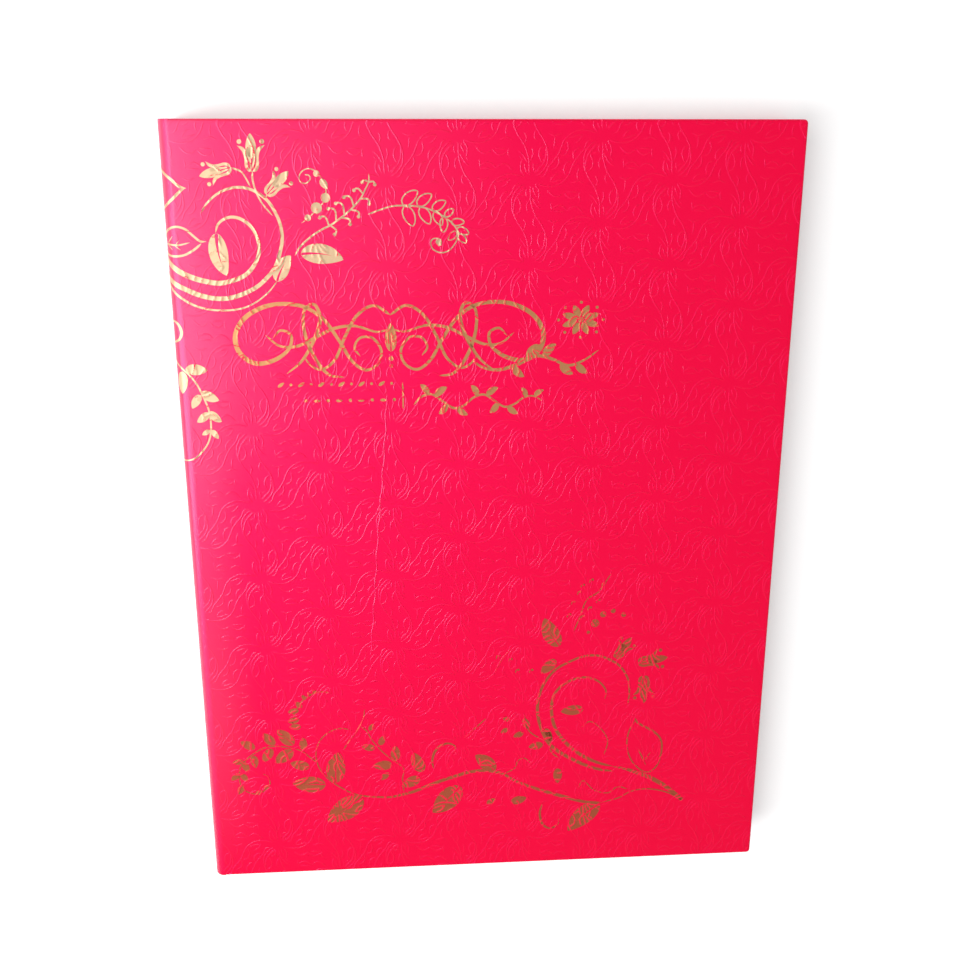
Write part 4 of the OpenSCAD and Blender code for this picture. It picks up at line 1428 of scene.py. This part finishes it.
def putInFoil(name, shapes, material):
    # lays the drawing on the cover: lifted a little, raised again where it crosses the emboss
    parts = [(points + [0, 0, foil["lift"] + foil["layer"] * (k % 4)], faces)
             for k, (points, faces) in enumerate(shapes)]
    points, faces = joinParts(parts)
    s, y = points[:, 0] + case["acrossShift"], points[:, 1] - case["halfHeight"]
    ridge = ridgeHeight(s, y)
    piece = putIn(name, onFace(s, y, points[:, 2] + ridge, 1), faces, material,
                  values={"ridge": ridge / emboss["height"]})
    blendAcross(piece, 1)
    print(name, len(faces), "faces")
    return piece


putInFoil("head_foil", headFoil, headGold)
putInFoil("title_foil", titleFoil, titleGold)
putInFoil("tail_foil", tailFoil, tailGold)

# stage, lights, camera

stage = {
    "floorTone": 0.8,
    "floorGlow": 0.35,        # seen directly, so that the floor is white and keeps the shadow
    "white": (0.22, 0.8),     # metres from the middle over which the floor turns white
    "horizon": (0.03, 0.25),  # the mirrored backdrop turns dark over these heights
    "overhead": 0.005,        # and has this tone straight up
    "fill": 0.45,             # even light from all round
}


def anyOf(tree, kinds):
    # 1 for a ray of any of these kinds
    path = addNode(tree, "LightPath").outputs
    found = path[kinds[0]]
    for kind in kinds[1:]:
        found = calc(tree, "MAXIMUM", found, path[kind])
    return found


def smoothRange(tree, value, start, end, low=0.0, high=1.0):
    # low up to the start, a smooth step, then high from the end on
    node = addNode(tree, "MapRange", interpolation_type="SMOOTHSTEP")
    fill(tree, node.inputs, (value, start, end, low, high))
    return node.outputs["Result"]


def floorMaterial():
    # pale near the object, plain white further out for what is seen directly or mirrored
    material, tree, shader, place = newMaterial("paleFloor", {
        "Emission Color": (1, 1, 1, 1), "Roughness": 0.9, "Specular IOR Level": 0.0})
    seen = anyOf(tree, ("Is Camera Ray", "Is Glossy Ray", "Is Transmission Ray"))
    away = addNode(tree, "VectorMath", place, operation="LENGTH")
    far = calc(tree, "MULTIPLY", smoothRange(tree, away.outputs["Value"], *stage["white"]), seen)
    tone = calc(tree, "MULTIPLY", calc(tree, "SUBTRACT", 1.0, far), stage["floorTone"])
    tree.links.new(tone, shader.inputs["Base Color"])
    glow = mixture(tree, seen, stage["floorGlow"], far, 1 - stage["floorGlow"])
    tree.links.new(glow, shader.inputs["Emission Strength"])
    return material


floorMesh = bpy.data.meshes.new("floor")
floorMesh.from_pydata([(-6, -6, 0), (6, -6, 0), (6, 6, 0), (-6, 6, 0)], [], [(0, 1, 2, 3)])
floorMesh.materials.append(floorMaterial())
floor = bpy.data.objects.new("floor", floorMesh)
scene.collection.objects.link(floor)
floor.location.z = -0.0002


def studioWorld():
    # even soft light before a plain white backdrop; mirrored, it is dark overhead
    world = bpy.data.worlds.new("studio")
    world.use_nodes = True
    tree = world.node_tree
    split = addNode(tree, "SeparateXYZ", addNode(tree, "TexCoord").outputs["Generated"])
    backdrop = smoothRange(tree, split.outputs["Z"], *stage["horizon"], 1.0, stage["overhead"])
    mirrored = anyOf(tree, ("Is Glossy Ray", "Is Transmission Ray"))
    lit = calc(tree, "MULTIPLY", calc(tree, "SUBTRACT", 1.0, mirrored), stage["fill"])
    around = calc(tree, "ADD", lit, calc(tree, "MULTIPLY", backdrop, mirrored))
    background = tree.nodes["Background"]
    tree.links.new(calc(tree, "MAXIMUM", around, anyOf(tree, ("Is Camera Ray",))),
                   background.inputs["Strength"])
    background.inputs["Color"].default_value = (1, 1, 1, 1)
    return world


scene.world = studioWorld()


def areaLamp(name, place, aim, size, power):
    # an oblong lamp that looks at its aim
    lamp = bpy.data.lights.new(name, "AREA")
    lamp.shape = "RECTANGLE"
    lamp.size, lamp.size_y = size
    lamp.energy = power
    holder = bpy.data.objects.new(name, lamp)
    scene.collection.objects.link(holder)
    holder.location = place
    holder.rotation_euler = (Vector(aim) - Vector(place)).to_track_quat("-Z", "Y").to_euler()


lamps = {
    "keyLamp": {"place": (-0.93, -0.2, 1.0), "aim": (-0.05, -0.05, 0), "size": (0.5, 1.5), "power": 17},
    "headLamp": {"place": (-0.55, 0.3, 1.05), "aim": (-0.08, 0.05, 0), "size": (0.5, 0.5), "power": 3},
}
for name, lamp in lamps.items():
    areaLamp(name, **lamp)

view = {"place": (-0.03237, 0.14680, 0.43557), "aim": (-0.00304, 0.02012, 0.022), "lens": 42.25}
cameraData = bpy.data.cameras.new("camera")
cameraData.lens = view["lens"]
cameraData.sensor_width = 36
cameraData.clip_start = 0.01
camera = bpy.data.objects.new("camera", cameraData)
scene.collection.objects.link(camera)
forward = (Vector(view["aim"]) - Vector(view["place"])).normalized()
rightward = forward.cross(Vector((0, 1, 0))).normalized()
upward = rightward.cross(forward)
turned = Matrix((rightward, upward, -forward)).transposed().to_4x4()
camera.matrix_world = Matrix.Translation(view["place"]) @ turned
scene.camera = camera
scene.view_settings.view_transform = "Standard"
